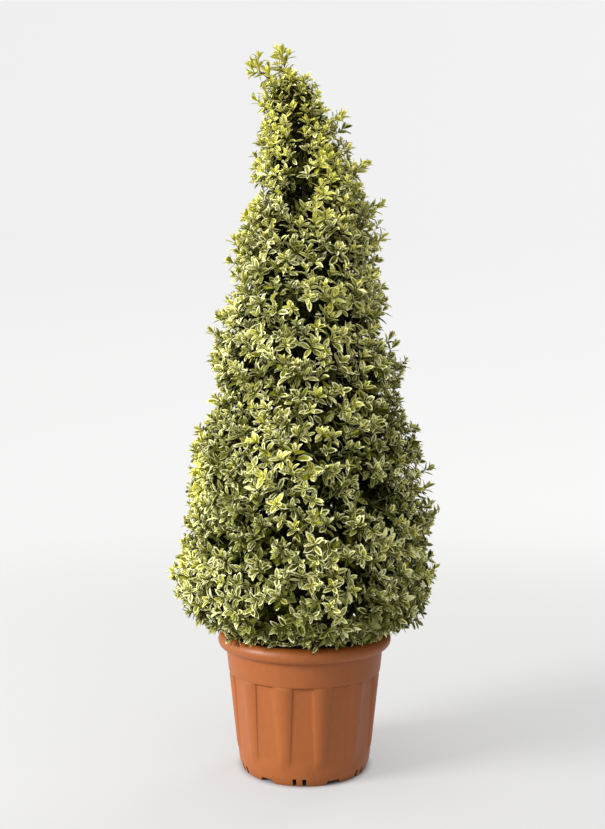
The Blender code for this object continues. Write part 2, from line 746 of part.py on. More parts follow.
def grow_leader(growth):
    """The leader on the trunk's tip, with twigs up and around it and its own long shoots."""
    space, rand = growth.space, growth.random
    heart = crown_centre(LEADER_HEART)
    tip = trunk_point(TRUNK_TOP)
    slope = abs(heart.x - tip.x) / (heart.z - tip.z)
    dip = (STEM_RADIUS + TRUNK_TIP_RADIUS) * slope  # both ends are cut square to the lean
    growth.limb(tip + Vector((0, 0, GAP + dip)), heart, STEM_RADIUS)
    golden = math.pi * (3 - math.sqrt(5))
    lowest = BORDERS[space.tier][0] + LEADER_TWIG_LOWEST
    for i in range(LEADER_TWIGS):
        share = (i + 0.5) / LEADER_TWIGS
        tip_height = mix(lowest, LEADER_HEART + LEADER_TWIG_HIGHEST, share)
        space.facing = i * golden + rand.uniform(-LEADER_TWIG_TURN, LEADER_TWIG_TURN)
        outline = space.reach(0, tip_height)
        reach = max(outline * LEADER_TWIG_LEAST, outline - TWIG_TIP_DEPTH)
        fork_height = max(tip_height - LEADER_TWIG_RISE * reach, TRUNK_TOP + LEADER_FORK_CLEAR)
        fork = space.point(0, fork_height, LEADER_FORK_OUT)
        growth.spray(fork, space.point(0, tip_height, reach), LEADER_TWIG_SIZE)
    for lean, azimuth, length in LEADER_SHOOTS:
        tilt = math.radians(lean)
        direction = outwards(math.radians(azimuth)) * math.sin(tilt)
        direction.z = math.cos(tilt)
        fork = heart - direction * SHOOT_SUNK
        growth.spray(fork, fork + direction * length, SHOOT_SIZE, SHOOT_SLACK)


def leader_core(space):
    """A slim cone round the leader's stem, from just above the trunk's tip."""
    low = BORDERS[space.tier][0] + LEADER_CORE_ENDS[0]
    high = LEADER_HEART - LEADER_CORE_ENDS[1]
    bm = bmesh.new()
    foot, top = LEADER_CORE_TAPER
    bmesh.ops.create_cone(
        bm, cap_ends=True, segments=LEADER_CORE_SIDES, radius1=foot, radius2=top, depth=2
    )
    for vert in bm.verts:
        height = mix(low, high, (vert.co.z + 1) / 2)
        outline = crown_radius(height, math.atan2(vert.co.y, vert.co.x))
        radius = core_radius(outline)
        flat = Vector((vert.co.x, vert.co.y, 0))
        vert.co = crown_centre(height) + flat * radius
    return mesh_from(bm, space.name)


# ---- Fusing -------------------------------------------------------------------------


def shells_of(bm):
    """The mesh's separate surfaces, each as a list of faces."""
    left, shells = set(bm.faces), []
    while left:
        todo, shell = [left.pop()], []
        while todo:
            face = todo.pop()
            shell.append(face)
            for edge in face.edges:
                # Shells that only touch along an edge share it between four faces.
                for other in edge.link_faces if edge.is_manifold else ():
                    if other in left:
                        left.discard(other)
                        todo.append(other)
        shells.append(shell)
    return shells


def shell_volume(shell):
    total = 0.0
    for face in shell:
        first = face.verts[0].co
        for a, b in zip(face.verts[1:-1], face.verts[2:]):
            total += first.dot(a.co.cross(b.co)) / 6
    return total


def keep_outer_shell(mesh):
    """Fills any hollow that fusing sealed and drops loose scraps: the largest shell stays."""
    bm = bmesh.new()
    bm.from_mesh(mesh)
    bmesh.ops.triangulate(bm, faces=bm.faces)
    shells = shells_of(bm)
    largest = max(shells, key=shell_volume)
    extra = [face for shell in shells if shell is not largest for face in shell]
    bmesh.ops.delete(bm, geom=extra, context="FACES")
    bm.to_mesh(mesh)
    bm.free()


def fuse(obj, collection):
    """Joins the objects of the collection to obj as one solid, and removes them."""
    modifier = boolean(obj, "UNION", collection, solver="MANIFOLD")
    graph = bpy.context.evaluated_depsgraph_get()
    fused = bpy.data.meshes.new_from_object(obj.evaluated_get(graph))
    obj.modifiers.remove(modifier)
    obj.data = fused
    keep_outer_shell(fused)
    for used in list(collection.objects):
        bpy.data.objects.remove(used)
    bpy.data.collections.remove(collection)


def make_mass(space, core, grow, shapes, parts, finish):
    growth = Growth(space, shapes)
    obj = new_object(space.name, core, parts, finish)
    grow(growth)
    fuse(obj, growth.collection)


def make_crown(parts, finishes):
    shapes = (leaf_mesh(), twig_mesh())
    for tier, (level, count, first, age) in enumerate(TIERS):
        for i in range(count):
            facing = math.radians(first + 360 * i / count)
            space = Space(f"foliage_{level}_{i + 1}", tier, count, facing)
            core = core_mesh(space)
            make_mass(space, core, grow_on_trunk, shapes, parts, finishes[age])
    space = Space("foliage_leader", len(TIERS), 1, 0)
    core = leader_core(space)
    make_mass(space, core, grow_leader, shapes, parts, finishes["young"])


def main():
    clear_scene()
    parts = new_collection("potted euonymus pyramid")
    make_pot(parts, material("terracotta plastic", PLASTIC))
    make_compost(parts, material("compost", COMPOST))
    make_trunk(parts, material("bark", BARK))
    finishes = {
        "young": material("young leaf", YOUNG_LEAF),
        "grown": material("grown leaf", LEAF),
        "old": material("old leaf", OLD_LEAF),
    }
    make_crown(parts, finishes)


main()
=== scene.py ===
"""A variegated euonymus pyramid in its ribbed pot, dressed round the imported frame.

Metres, +Z up, the pot's axis on the origin and its front towards -Y. The crown is grown
by the source's rule: the same outline, masses and limbs, then carried on from the limbs
to finer shoots. Each shoot has opposite pairs of leaves set crosswise, small and steep at
its tip, larger and flatter further back. A leaf is a folded blade with a green middle and
a pale margin, and the shades of both are dealt out shoot by shoot.
"""

import json
import math
import random

import bmesh
import bpy
import numpy as np
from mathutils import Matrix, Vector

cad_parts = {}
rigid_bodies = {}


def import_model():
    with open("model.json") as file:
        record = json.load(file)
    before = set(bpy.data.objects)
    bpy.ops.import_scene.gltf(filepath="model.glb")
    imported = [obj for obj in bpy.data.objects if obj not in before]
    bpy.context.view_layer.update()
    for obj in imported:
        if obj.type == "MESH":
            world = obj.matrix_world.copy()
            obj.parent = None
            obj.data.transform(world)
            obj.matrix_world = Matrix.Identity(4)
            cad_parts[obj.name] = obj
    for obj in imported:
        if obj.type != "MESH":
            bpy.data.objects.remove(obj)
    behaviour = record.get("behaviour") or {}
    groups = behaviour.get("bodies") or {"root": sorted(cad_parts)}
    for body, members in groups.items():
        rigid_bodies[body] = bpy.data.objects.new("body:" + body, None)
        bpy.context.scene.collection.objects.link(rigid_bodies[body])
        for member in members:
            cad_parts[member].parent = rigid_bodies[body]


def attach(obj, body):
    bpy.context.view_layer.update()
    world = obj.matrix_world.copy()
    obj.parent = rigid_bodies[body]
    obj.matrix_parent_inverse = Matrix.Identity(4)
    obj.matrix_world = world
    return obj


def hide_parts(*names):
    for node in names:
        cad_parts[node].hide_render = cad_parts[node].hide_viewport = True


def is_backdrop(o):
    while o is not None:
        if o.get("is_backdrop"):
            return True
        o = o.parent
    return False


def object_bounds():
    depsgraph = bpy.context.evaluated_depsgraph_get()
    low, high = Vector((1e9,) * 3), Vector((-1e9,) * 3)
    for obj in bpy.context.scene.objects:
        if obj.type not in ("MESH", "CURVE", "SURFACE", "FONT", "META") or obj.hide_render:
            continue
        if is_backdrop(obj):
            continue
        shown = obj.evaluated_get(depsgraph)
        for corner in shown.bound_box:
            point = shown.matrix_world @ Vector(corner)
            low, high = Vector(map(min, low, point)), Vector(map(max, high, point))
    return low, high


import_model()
CAD_BOX = [list(corner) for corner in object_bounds()]

# ---- Pot, as the source has it --------------------------------------------------------

POT_HEIGHT = 0.232
RIM_RADIUS = 0.150
RIM_ROLL_WIDTH = 0.0115
RIM_ROLL_HEIGHT = 0.025
COLLAR_TOP = (0.1358, 0.2062)  # radius and height, here and below
COLLAR_FOOT = (0.1318, 0.1675)
WALL_TOP = (0.1268, 0.1655)
WALL_FOOT = (0.1150, 0.0350)
SKIRT_TOP = (0.1124, 0.0130)
SKIRT_FOOT = (0.1078, 0.0)
SKIRT_WIDTH = 0.0038
WALL_THICKNESS = 0.0028
FLOOR_UNDERSIDE = 0.0085
FLOOR_TOP = 0.0115

RIB_COUNT = 12
RIB_STANDS_OUT = 0.0034
RIB_TOP_WIDTH = 0.034
RIB_FOOT_WIDTH = 0.018
RIB_CROWN = 0.0012  # how far a rib's middle stands proud of its edges
RIB_TURN = math.radians(-76.5)  # azimuth of the first rib
RIB_EDGE = 0.0013  # width of the rounded step at a rib's side
RIB_EDGE_SHARE = 0.36  # of a rib's height that it stands at its edges
RIBS_END = 0.0262
RIBS_FADE_START = 0.026
RIBS_FADE = 0.022  # the height above there over which a rib dies away
PANEL_SUNK = 0.0014

DRAIN_COUNT = 6
DRAIN_TURN = math.radians(-94.5)
SLOT_WIDTH = 0.0062
SLOT_HEIGHT = 0.0135
SLOT_SPACING = 0.0157
NOTCH_WIDTH = 0.031
NOTCH_TOP_WIDTH = 0.021
NOTCH_HEIGHT = 0.0075

COMPOST_HEIGHT = 0.210
COMPOST_FALL = 0.005
COMPOST_RADIUS = 0.1265
COMPOST_UNDERSIDE = 0.190

TRUNK_RADIUS = 0.0115
TRUNK_TIP_RADIUS = 0.0040
TRUNK_TOP = 0.998
TRUNK_FLARE = 0.65
TRUNK_FLARE_HEIGHT = 0.035
TRUNK_SWAY = 0.004

# ---- Crown, as the source has it ------------------------------------------------------

CROWN_TOP = 1.249
CROWN_FOOT = 0.214
CROWN_RADIUS = 0.236
CROWN_POWER = 0.58
BELLY_HEIGHT = 0.330
BELLY_DEPTH = 0.135
LEAN = 0.047
LEAN_START = 0.980

# Full and hollow places of the outline: height, azimuth in degrees, how far it stands
# out, and the height and azimuth that it fades over.
SWELLS = (
    (1.100, -86, -0.022, 0.060, 20), (0.990, 178, -0.018, 0.018, 34), (0.966, 2, 0.014, 0.020, 34),
    (0.905, 4, 0.012, 0.014, 30), (0.960, -84, -0.020, 0.050, 16), (0.866, 0, -0.014, 0.016, 36),
    (0.832, 180, -0.019, 0.022, 36), (0.782, 182, 0.011, 0.014, 30), (0.757, -4, -0.016, 0.026, 36),
    (0.635, 176, -0.021, 0.026, 38), (0.690, 0, 0.008, 0.014, 30), (0.540, 180, 0.011, 0.030, 36),
    (0.535, 2, 0.014, 0.034, 34), (0.428, 0, 0.022, 0.020, 26), (0.424, 184, -0.012, 0.018, 30),
    (0.345, 178, 0.006, 0.030, 36), (0.700, -70, -0.014, 0.040, 15), (0.560, -108, 0.010, 0.040, 30),
    (0.470, -62, -0.012, 0.030, 16), (0.380, -95, 0.008, 0.040, 30), (0.880, 92, 0.012, 0.030, 34),
    (0.740, 60, -0.013, 0.026, 26), (0.600, 96, 0.012, 0.034, 34), (0.430, 122, -0.012, 0.024, 26),
    (0.400, 70, 0.009, 0.030, 34),
)
BORDERS = (
    (0.2370, 0.0, 0), (0.4450, 0.010, 200), (0.6400, 0.012, 40),
    (0.8480, 0.018, 0), (1.0060, 0.004, 0), (1.2800, 0.0, 0),
)
# name, number of masses round the trunk, azimuth of the first in degrees, material slot
TIERS = (
    ("skirt", 4, -96, "old_leaf"),
    ("lower", 3, -122, "grown_leaf"),
    ("upper", 3, -104, "grown_leaf"),
    ("shoulder", 3, -26, "young_leaf"),
)
TWIST = 0.9
CORE_DEPTH = 0.043
CORE_LEAST = 0.60

GAP = 0.0003
STEM_RADIUS = 0.0040
STEM_TIP_RADIUS = 0.0032
BOUGH_RADII = (0.0030, 0.0026)  # at its stem and at its fork
LIMB_RADII = (0.0027, 0.0013)  # at its fork and at its tip
STEM_RISE = math.radians(35)
TWIG_RISE = 0.36
TWIG_TIP_DEPTH = 0.0255
TWIG_SUNK = 0.030
FORK_TUCK = 0.016
ROW_SPACING = 0.077
SPRAY_SPACING = 0.102
SPRAY_JITTER = 0.16
SPRAY_DRAWS = 16  # what the source draws for the leaves of each spray
LEADER_HEART = 1.160
LEADER_TWIGS = 11
LEADER_TWIG_LEAST = 0.66
LEADER_GROWTH_TOP = 0.028  # of its outer shoots, above its heart
# The leader's own shoots: how far each leans, towards which azimuth, and its length.
LEADER_SHOOTS = (
    (15, 180, 0.084), (57, 184, 0.078), (34, 12, 0.046), (38, 270, 0.044), (38, 96, 0.046),
)
SEED = 11

# ---- Finer growth ---------------------------------------------------------------------

# Layers of shoots from the outline inwards: the spacing of their tips, the depth of the
# tips below the outline, and how much that varies.
OUTER_LAYER = (0.0236, 0.0135, 0.0055)
UNDER_LAYER = (0.040, 0.040, 0.008)
INNER_LAYER = (0.025, 0.058, 0.010)
HEART_LAYER = (0.038, 0.100, 0.016)
LONG_SHARE = 0.09  # of the outer shoots, which outgrew the shears
LONG_DEPTH = (-0.008, 0.004)
UNDER_PAINTED_SHADE = 0.50  # painted shade: taken from the youth of the under layer, to darken it
INNER_PAINTED_SHADE = 0.45  # and of the layers inside it, as painted shade
TIP_JITTER = 0.40  # as a share of the spacing
SHOOT_UPTURN = (0.30, 1.05)  # upwards mixed with the outline's normal, low down and high up
SHOOT_WANDER = 0.34
FRINGE_SPACING = 0.011  # of the shoots just over the rim
FRINGE_HEIGHT = (0.237, 0.252)
FRINGE_RADIUS = (0.128, 0.157)
FRINGE_DROOP = (-0.35, 0.30)  # upwards for each metre outwards
FRINGE_SIZE = 0.92
SHOOT_MORE = (0.006, 0.014, -0.015, -0.006, 0.002)  # added to each of the leader's own
SHOOT_RISE = 0.014  # how far one of these curves up, where it leans right over
OWN_SIZE = 1.12
OWN_YOUTH = 0.85
OWN_RADII = (0.0018, 0.0008)
SIDE_SIZE = 0.95  # of the short shoots up their sides
SIDE_YOUTH = 0.80
SIDE_SPACING = 0.012
SIDE_LENGTH = (0.013, 0.026)
SHOOT_RADIUS = 0.00135
SHOOT_TIP_RADIUS = 0.00055

# Each pair of leaves from a shoot's tip back: distance from the tip, length, spread.
LEAF_PAIRS = np.array(
    (
        (0.0002, 0.0090, 12), (0.0012, 0.0130, 25), (0.0034, 0.0163, 39),
        (0.0068, 0.0184, 52), (0.0112, 0.0192, 65), (0.0172, 0.0186, 78),
    )
)
UNDER_PAIRS = np.array(
    (
        (0.0010, 0.0150, 28), (0.0060, 0.0205, 50), (0.0125, 0.0230, 68),
        (0.0210, 0.0220, 84),
    )
)
INNER_PAIRS = np.array(
    (
        (0.0010, 0.0150, 35), (0.0050, 0.0180, 55), (0.0115, 0.0190, 72),
        (0.0195, 0.0190, 85), (0.0290, 0.0190, 92),
    )
)
# On the leader's own shoots the pairs stand further apart, all the way down.
LOOSE_PAIRS = np.array(
    (
        (0.0002, 0.0110, 14), (0.0030, 0.0160, 24), (0.0080, 0.0195, 34),
        (0.0150, 0.0210, 42), (0.0240, 0.0220, 50), (0.0340, 0.0220, 56),
        (0.0450, 0.0210, 60), (0.0570, 0.0200, 64),
    )
)
LEAF_WIDTH = 0.43
SHADE_DROOP = 0.14  # of a shaded leaf's tip, as a share of its length
BROAD_SHARE = 0.34  # of the leaves have a broad middle and a thin margin
BROAD_MIDDLE = (0.72, 0.52)  # the middle's share of the width in those and in the others
FEATHER = 0.45  # of a margin, where pale and green streaks meet
FEATHERED_PALE = 0.30  # share of the streaks there that are pale
RINGED_SHARE = 0.42  # of the leaves have a sage heart inside a green ring
RING_HEART = 0.52  # of the middle's width, the heart
RING_OUT = 0.22  # of the margin, how far the ring reaches into it
STRIPS = np.array((0, 1, 2, 2, 1, 0))  # across a leaf: margin, feathered edge and middle
LEAF_ROWS = np.array((0.17, 0.50, 0.81))  # from the root, as a share of the length
LEAF_OUTLINE = np.array((0.46, 1.00, 0.70))  # half widths there
LEAF_GREEN = np.array((0.92, 1.0, 0.72))  # how wide the middle is there

# Single shoots that stand out past the outline: height, azimuth in degrees, how far.
STRAYS = (
    (1.044, 0, 0.018), (1.036, -14, 0.010), (1.126, -8, 0.010), (1.112, 10, 0.010),
    (1.176, -60, 0.004), (1.156, 188, 0.008), (0.972, -8, 0.012), (0.752, 176, 0.006),
    (0.700, 0, 0.008), (0.480, 2, 0.012), (0.440, -6, 0.010), (0.420, 182, 0.006),
    (0.318, 178, 0.004), (0.742, -2, 0.009), (0.730, 6, 0.012), (0.514, -3, 0.012),
    (0.335, 0, 0.012), (0.346, -8, 0.010), (0.441, 166, -0.006), (0.451, 171, -0.009),
    (0.440, 176, -0.004), (0.449, 181, -0.002), (0.439, 187, -0.005), (0.448, 192, -0.008),
    (0.440, 197, -0.006), (1.050, 100, 0.012), (0.900, 70, 0.012), (0.780, 130, 0.012),
    (0.600, 60, 0.010), (0.460, 110, 0.010),
)

# Bare places between shoots, where one looks into the shade of the crown: height,
# azimuth in degrees, half the width and half the height.
BARE_PLACES = (
    (1.022, -101, 0.012, 0.020), (0.987, -95, 0.013, 0.023), (0.960, -108, 0.012, 0.010),
    (0.856, -93, 0.010, 0.013), (0.849, -70, 0.015, 0.008), (0.871, -110, 0.008, 0.013),
    (0.824, -121, 0.010, 0.008), (0.643, -60, 0.016, 0.022), (0.600, -72, 0.012, 0.012),
    (1.092, -100, 0.009, 0.016), (1.052, -93, 0.010, 0.014), (0.557, -85, 0.015, 0.017),
    (0.465, -82, 0.019, 0.008), (0.470, -48, 0.013, 0.026), (0.419, -99, 0.012, 0.009),
    (0.419, -73, 0.009, 0.009), (0.363, -62, 0.019, 0.020), (0.500, -58, 0.012, 0.020),
    (0.610, -80, 0.012, 0.014), (0.520, -100, 0.010, 0.016), (0.700, -95, 0.010, 0.014),
    (0.780, -84, 0.010, 0.012), (0.296, -106, 0.018, 0.011), (0.300, -61, 0.011, 0.010),
    (0.667, -75, 0.013, 0.010), (0.898, -58, 0.010, 0.008), (0.500, 20, 0.013, 0.020),
    (0.720, 45, 0.014, 0.012), (0.390, 60, 0.018, 0.012), (0.880, 80, 0.012, 0.018),
    (0.560, 100, 0.013, 0.020), (0.330, 118, 0.018, 0.014), (0.690, 140, 0.013, 0.018),
    (0.470, 165, 0.010, 0.013), (0.940, 165, 0.010, 0.013), (0.580, -160, 0.012, 0.014),
)
BARE_EDGE = 0.003  # how far around them no shoot ends

# Where growth is younger, or older, than around it: height, azimuth, size and how much.
YOUNG_PLACES = (
    (0.500, -158, 0.034, 0.75), (0.350, -165, 0.030, 0.45), (0.350, -20, 0.030, 0.35),
    (0.620, -165, 0.030, 0.15), (0.580, -135, 0.034, -0.30), (0.960, -112, 0.026, -0.55),
    (1.000, -62, 0.026, 0.30), (0.800, -70, 0.022, 0.35), (0.830, -112, 0.030, -0.35),
    (0.430, -120, 0.030, -0.45), (0.400, -140, 0.024, -0.40), (0.660, -128, 0.028, -0.35),
    (0.470, -80, 0.030, 0.25), (0.255, -100, 0.030, -0.60), (0.700, 30, 0.030, 0.35),
    (0.450, 95, 0.036, 0.50), (0.850, 130, 0.030, 0.30), (0.550, 150, 0.034, -0.35),
    (0.350, 40, 0.034, -0.35),
)

# ---- Shades ---------------------------------------------------------------------------

# Greens of a leaf's middle from the oldest to the youngest growth, and roughness.
GREENS = (
    ("deep green", (0.034, 0.038, 0.003), 0.40),
    ("grey green", (0.082, 0.089, 0.010), 0.42),
    ("moss green", (0.122, 0.128, 0.010), 0.42),
    ("olive green", (0.197, 0.197, 0.013), 0.42),
    ("leaf green", (0.293, 0.288, 0.018), 0.42),
    ("fresh green", (0.405, 0.402, 0.038), 0.42),
    ("lime green", (0.530, 0.514, 0.075), 0.42),
)
# Where green and cream run into one another, in the same order.
SAGES = (
    ("dull sage", (0.176, 0.181, 0.034), 0.44),
    ("sage", (0.302, 0.303, 0.060), 0.44),
    ("pale sage", (0.466, 0.461, 0.110), 0.44),
    ("yellow sage", (0.585, 0.574, 0.135), 0.44),
)
# Margins in the same order.
MARGINS = (
    # The first margin is old cream darkened as painted shade, for leaves low down and inside the
    # crown.
    ("aged cream", (0.265, 0.270, 0.090), 0.46),
    ("ivory", (0.735, 0.732, 0.400), 0.46),
    ("cream", (0.785, 0.774, 0.390), 0.46),
    ("butter", (0.795, 0.777, 0.325), 0.46),
    ("primrose", (0.790, 0.764, 0.250), 0.44),
    ("lemon", (0.770, 0.741, 0.165), 0.44),
)
# Near-black greens for the leaves deep inside the crown are painted shade; the lightest is for those
# in the leader.
SHADED_GREENS = (
    ("shaded leaf", (0.018, 0.022, 0.001), 0.70),
    ("shaded grey leaf", (0.036, 0.041, 0.004), 0.70),
    ("shaded young leaf", (0.100, 0.106, 0.016), 0.65),
)
YOUNG_TWIG = ((0.120, 0.125, 0.035), 0.50)
LEAF_SHINE = 0.13
LEAF_SHINE_TINT = (1.0, 0.95, 0.30, 1.0)
PLASTIC_SHINE = 0.40

# Mottled finishes: two colours, the scales of the noise between them, its contrast and
# its stretch up the part.
PLASTIC = {
    "First": (0.304, 0.086, 0.014, 1),
    "Second": (0.254, 0.066, 0.010, 1),
    "Coarse": 9.0,
    "Fine": 160.0,
    "Contrast": 0.9,
    "Stretch": 0.35,
}
SOIL = {
    "First": (0.045, 0.030, 0.020, 1),
    "Second": (0.012, 0.008, 0.006, 1),
    "Coarse": 60.0,
    "Fine": 380.0,
    "Contrast": 2.2,
    "Stretch": 1.0,
}
BARK = {
    "First": (0.210, 0.150, 0.098, 1),
    "Second": (0.075, 0.050, 0.032, 1),
    "Coarse": 40.0,
    "Fine": 260.0,
    "Contrast": 2.0,
    "Stretch": 0.25,
}

# ---- Studio ---------------------------------------------------------------------------

PAPER_NEAR = (0.100, 0.122)  # from and to a distance over which the near glow sets in; inside it lies a narrow painted shadow round the pot's foot, and the glow is painted light that lightens the plant's shadow on the floor
NEAR_PAINTED_LIGHT = 0.357
PAPER_FAR = (1.0, 3.4)
FAR_GLOW = 0.349
PAPER_SHADES = (0.30, 0.13)  # near and far
FLOOR_EDGE = 1.6
ROOM_COLOUR = (1.0, 0.996, 0.985, 1.0)
ROOM_BRIGHT_SIDE = (-0.58, -0.38, 0.72)
ROOM_GLOW = (-0.6, 0.9, 0.14, 1.24)  # from and to a share of that side, from and to a strength
KEY_PLACE = (-5.90, -2.70, 2.98)
KEY_SIZE = 2.4
KEY_POWER = 680
FILL_PLACE = (3.60, 5.20, 3.20)
FILL_SIZE = 3.0
FILL_POWER = 170
FILL_COLOUR = (1.0, 0.965, 0.90)
CAMERA_PLACE = (-0.0035, -1.619, 0.607)
CAMERA_LENS = 40.26

# ---- Meshes and materials -------------------------------------------------------------


def feed(tree, node, values):
    """Gives inputs, by name or number, a plain value or another node's output."""
    for name, value in values.items():
        if isinstance(value, bpy.types.NodeSocket):
            tree.links.new(value, node.inputs[name])
        else:
            node.inputs[name].default_value = value


def add_node(tree, kind, values, **settings):
    """A new shader node with these settings, fed with these values."""
    made = tree.nodes.new(f"ShaderNode{kind}")
    for name, value in settings.items():
        setattr(made, name, value)
    feed(tree, made, values)
    return made


def principled(name, values):
    made = bpy.data.materials.new(name)
    made.use_nodes = True
    feed(made.node_tree, made.node_tree.nodes["Principled BSDF"], values)
    return made


def plain(name, colour, roughness):
    """A material of one colour, with the leaves' faint shine."""
    values = {"Base Color": (*colour, 1.0), "Roughness": roughness}
    shine = {"Specular IOR Level": LEAF_SHINE, "Specular Tint": LEAF_SHINE_TINT}
    return principled(name, values | shine)


def new_piece(name, points, faces, finishes):
    """A mesh object of an array of points and a list of (corner numbers, finish numbers)."""
    mesh = bpy.data.meshes.new(name)
    corners = np.concatenate([part.ravel() for part, _ in faces])
    sizes = np.concatenate([np.full(len(part), part.shape[1]) for part, _ in faces])
    worn = np.concatenate([np.broadcast_to(finish, len(part)) for part, finish in faces])
    starts = np.concatenate(([0], np.cumsum(sizes)[:-1]))
    mesh.vertices.add(len(points))
    mesh.vertices.foreach_set("co", np.ascontiguousarray(points, np.float32).ravel())
    mesh.loops.add(len(corners))
    mesh.loops.foreach_set("vertex_index", corners.astype(np.int32))
    mesh.polygons.add(len(sizes))
    mesh.polygons.foreach_set("loop_start", starts.astype(np.int32))
    for finish in finishes:
        mesh.materials.append(finish)
    mesh.polygons.foreach_set("material_index", worn.astype(np.int32))
    mesh.polygons.foreach_set("use_smooth", np.ones(len(sizes), bool))
    mesh.update(calc_edges=True)
    mesh.validate()
    obj = bpy.data.objects.new(name, mesh)
    bpy.context.scene.collection.objects.link(obj)
    return obj


def grid_faces(rows, columns, closed=True):
    """Corner numbers of a grid's squares, whose columns join up if it is closed."""
    row = np.arange(rows - 1)[:, None]
    column = np.arange(columns if closed else columns - 1)[None, :]
    after = (column + 1) % columns
    a, b = row * columns + column, row * columns + after
    return np.stack((a, b, b + columns, a + columns), -1).reshape(-1, 4)


def closed_grid(rows, columns):
    """Squares of a closed grid, and triangles from its ends to the two points after it."""
    j = np.arange(columns)
    after = (j + 1) % columns
    pole, top = rows * columns, (rows - 1) * columns
    low = np.stack((np.full(columns, pole), after, j), -1)
    high = np.stack((np.full(columns, pole + 1), top + j, top + after), -1)
    return grid_faces(rows, columns), np.concatenate((low, high))


UPWARDS = np.array((0.0, 0.0, 1.0))


def unit(vectors):
    return vectors / np.maximum(np.linalg.norm(vectors, axis=-1, keepdims=True), 1e-9)


def stacked(*parts):
    return np.stack(np.broadcast_arrays(*parts), -1)


# ---- The crown's outline --------------------------------------------------------------


def centre_x(height):
    share = np.maximum(0.0, (height - LEAN_START) / (CROWN_TOP - LEAN_START))
    return -LEAN * share * share


def swell(height, azimuth):
    total = 0.0
    for middle, facing, size, tall, wide in SWELLS:
        up = (height - middle) / tall
        turn = (azimuth - math.radians(facing) + math.pi) % math.tau - math.pi
        total = total + size * np.exp(-(up**2 + (turn / math.radians(wide)) ** 2) / 2)
    return total


def crown_radius(height, azimuth):
    """The outline: a power of the depth below the top, turned under at the belly."""
    depth = (CROWN_TOP - height) / (CROWN_TOP - CROWN_FOOT)
    radius = CROWN_RADIUS * np.maximum(depth, 0.0) ** CROWN_POWER
    radius = radius + swell(height, azimuth) * np.minimum(1.0, depth * 12)
    under = np.clip((BELLY_HEIGHT - height) / BELLY_DEPTH, 0.0, 0.96)
    return radius * np.sqrt(1 - under**2)


def crown_point(height, azimuth, radius):
    x = centre_x(height) + np.cos(azimuth) * radius
    return stacked(x, np.sin(azimuth) * radius, height)


def outline_point(height, degrees):
    height, azimuth = np.array(height), np.array(math.radians(degrees))
    return crown_point(height, azimuth, crown_radius(height, azimuth))


def crown_normal(height, azimuth):
    """Outwards from the outline, by its slope up and round."""
    up = (crown_radius(height + 0.006, azimuth) - crown_radius(height - 0.006, azimuth)) / 0.012
    radius = np.maximum(crown_radius(height, azimuth), 0.02)
    turn = crown_radius(height, azimuth + 0.05) - crown_radius(height, azimuth - 0.05)
    turn = turn / (0.10 * radius)
    out = stacked(np.cos(azimuth), np.sin(azimuth), 0.0)
    side = stacked(-np.sin(azimuth), np.cos(azimuth), 0.0)
    return unit(out - 0.8 * up[..., None] * UPWARDS - 0.6 * turn[..., None] * side)


def border_height(number, azimuth):
    height, tilt, facing = BORDERS[number]
    return height + tilt * np.cos(azimuth - math.radians(facing))


class Space:
    """The room that one mass keeps to: u from -1 to 1 across it and v from -1 to 1 up it."""

    def __init__(self, name, tier, count, facing, slot):
        self.name, self.tier, self.facing, self.slot = name, tier, facing, slot
        self.half = math.pi / count
        self.is_leader = count == 1
        self.level = (BORDERS[tier][0] + BORDERS[tier + 1][0]) / 2

    def azimuth(self, u, height):
        return self.facing + u * self.half + TWIST * (height - self.level)

    def height(self, u, v):
        above = self.tier + 1
        lowest = border_height(self.tier, self.azimuth(u, BORDERS[self.tier][0]))
        highest = border_height(above, self.azimuth(u, BORDERS[above][0]))
        return lowest + (highest - lowest) * (v + 1) / 2

    def reach(self, u, height):
        return crown_radius(height, self.azimuth(u, height))

    def point(self, u, height, radius):
        return crown_point(height, self.azimuth(u, height), radius)


def core_radius(outline):
    return np.maximum(outline - CORE_DEPTH, outline * CORE_LEAST)


# ---- Trunk and limbs ------------------------------------------------------------------


def trunk_share(height):
    return (height - COMPOST_HEIGHT) / (TRUNK_TOP - COMPOST_HEIGHT)


def trunk_points(height):
    share = trunk_share(height)
    sway = TRUNK_SWAY * np.sin(math.tau * share) * np.minimum(1, share * 4)
    return stacked(centre_x(height) + sway * 0.6, -sway, height)


def trunk_radius(height):
    flare = TRUNK_FLARE * np.exp(-(height - COMPOST_HEIGHT) / TRUNK_FLARE_HEIGHT)
    taper = (TRUNK_TIP_RADIUS - TRUNK_RADIUS) * trunk_share(height)
    return TRUNK_RADIUS + taper + TRUNK_RADIUS * flare


def stem_of(space):
    """Foot and head of the stem of a mass beside the trunk."""
    level = space.height(0.0, -0.5)
    towards = np.array((math.cos(space.facing), math.sin(space.facing), 0.0))
    beside = trunk_radius(level) + GAP + STEM_RADIUS * math.sin(STEM_RISE) + 0.0008
    foot = trunk_points(level) + towards * beside
    long = (space.reach(0.0, level) * 0.5 - beside) / math.cos(STEM_RISE)
    rise = towards * math.cos(STEM_RISE) + np.array((0, 0, math.sin(STEM_RISE)))
    return foot - rise * 0.012, foot + rise * long


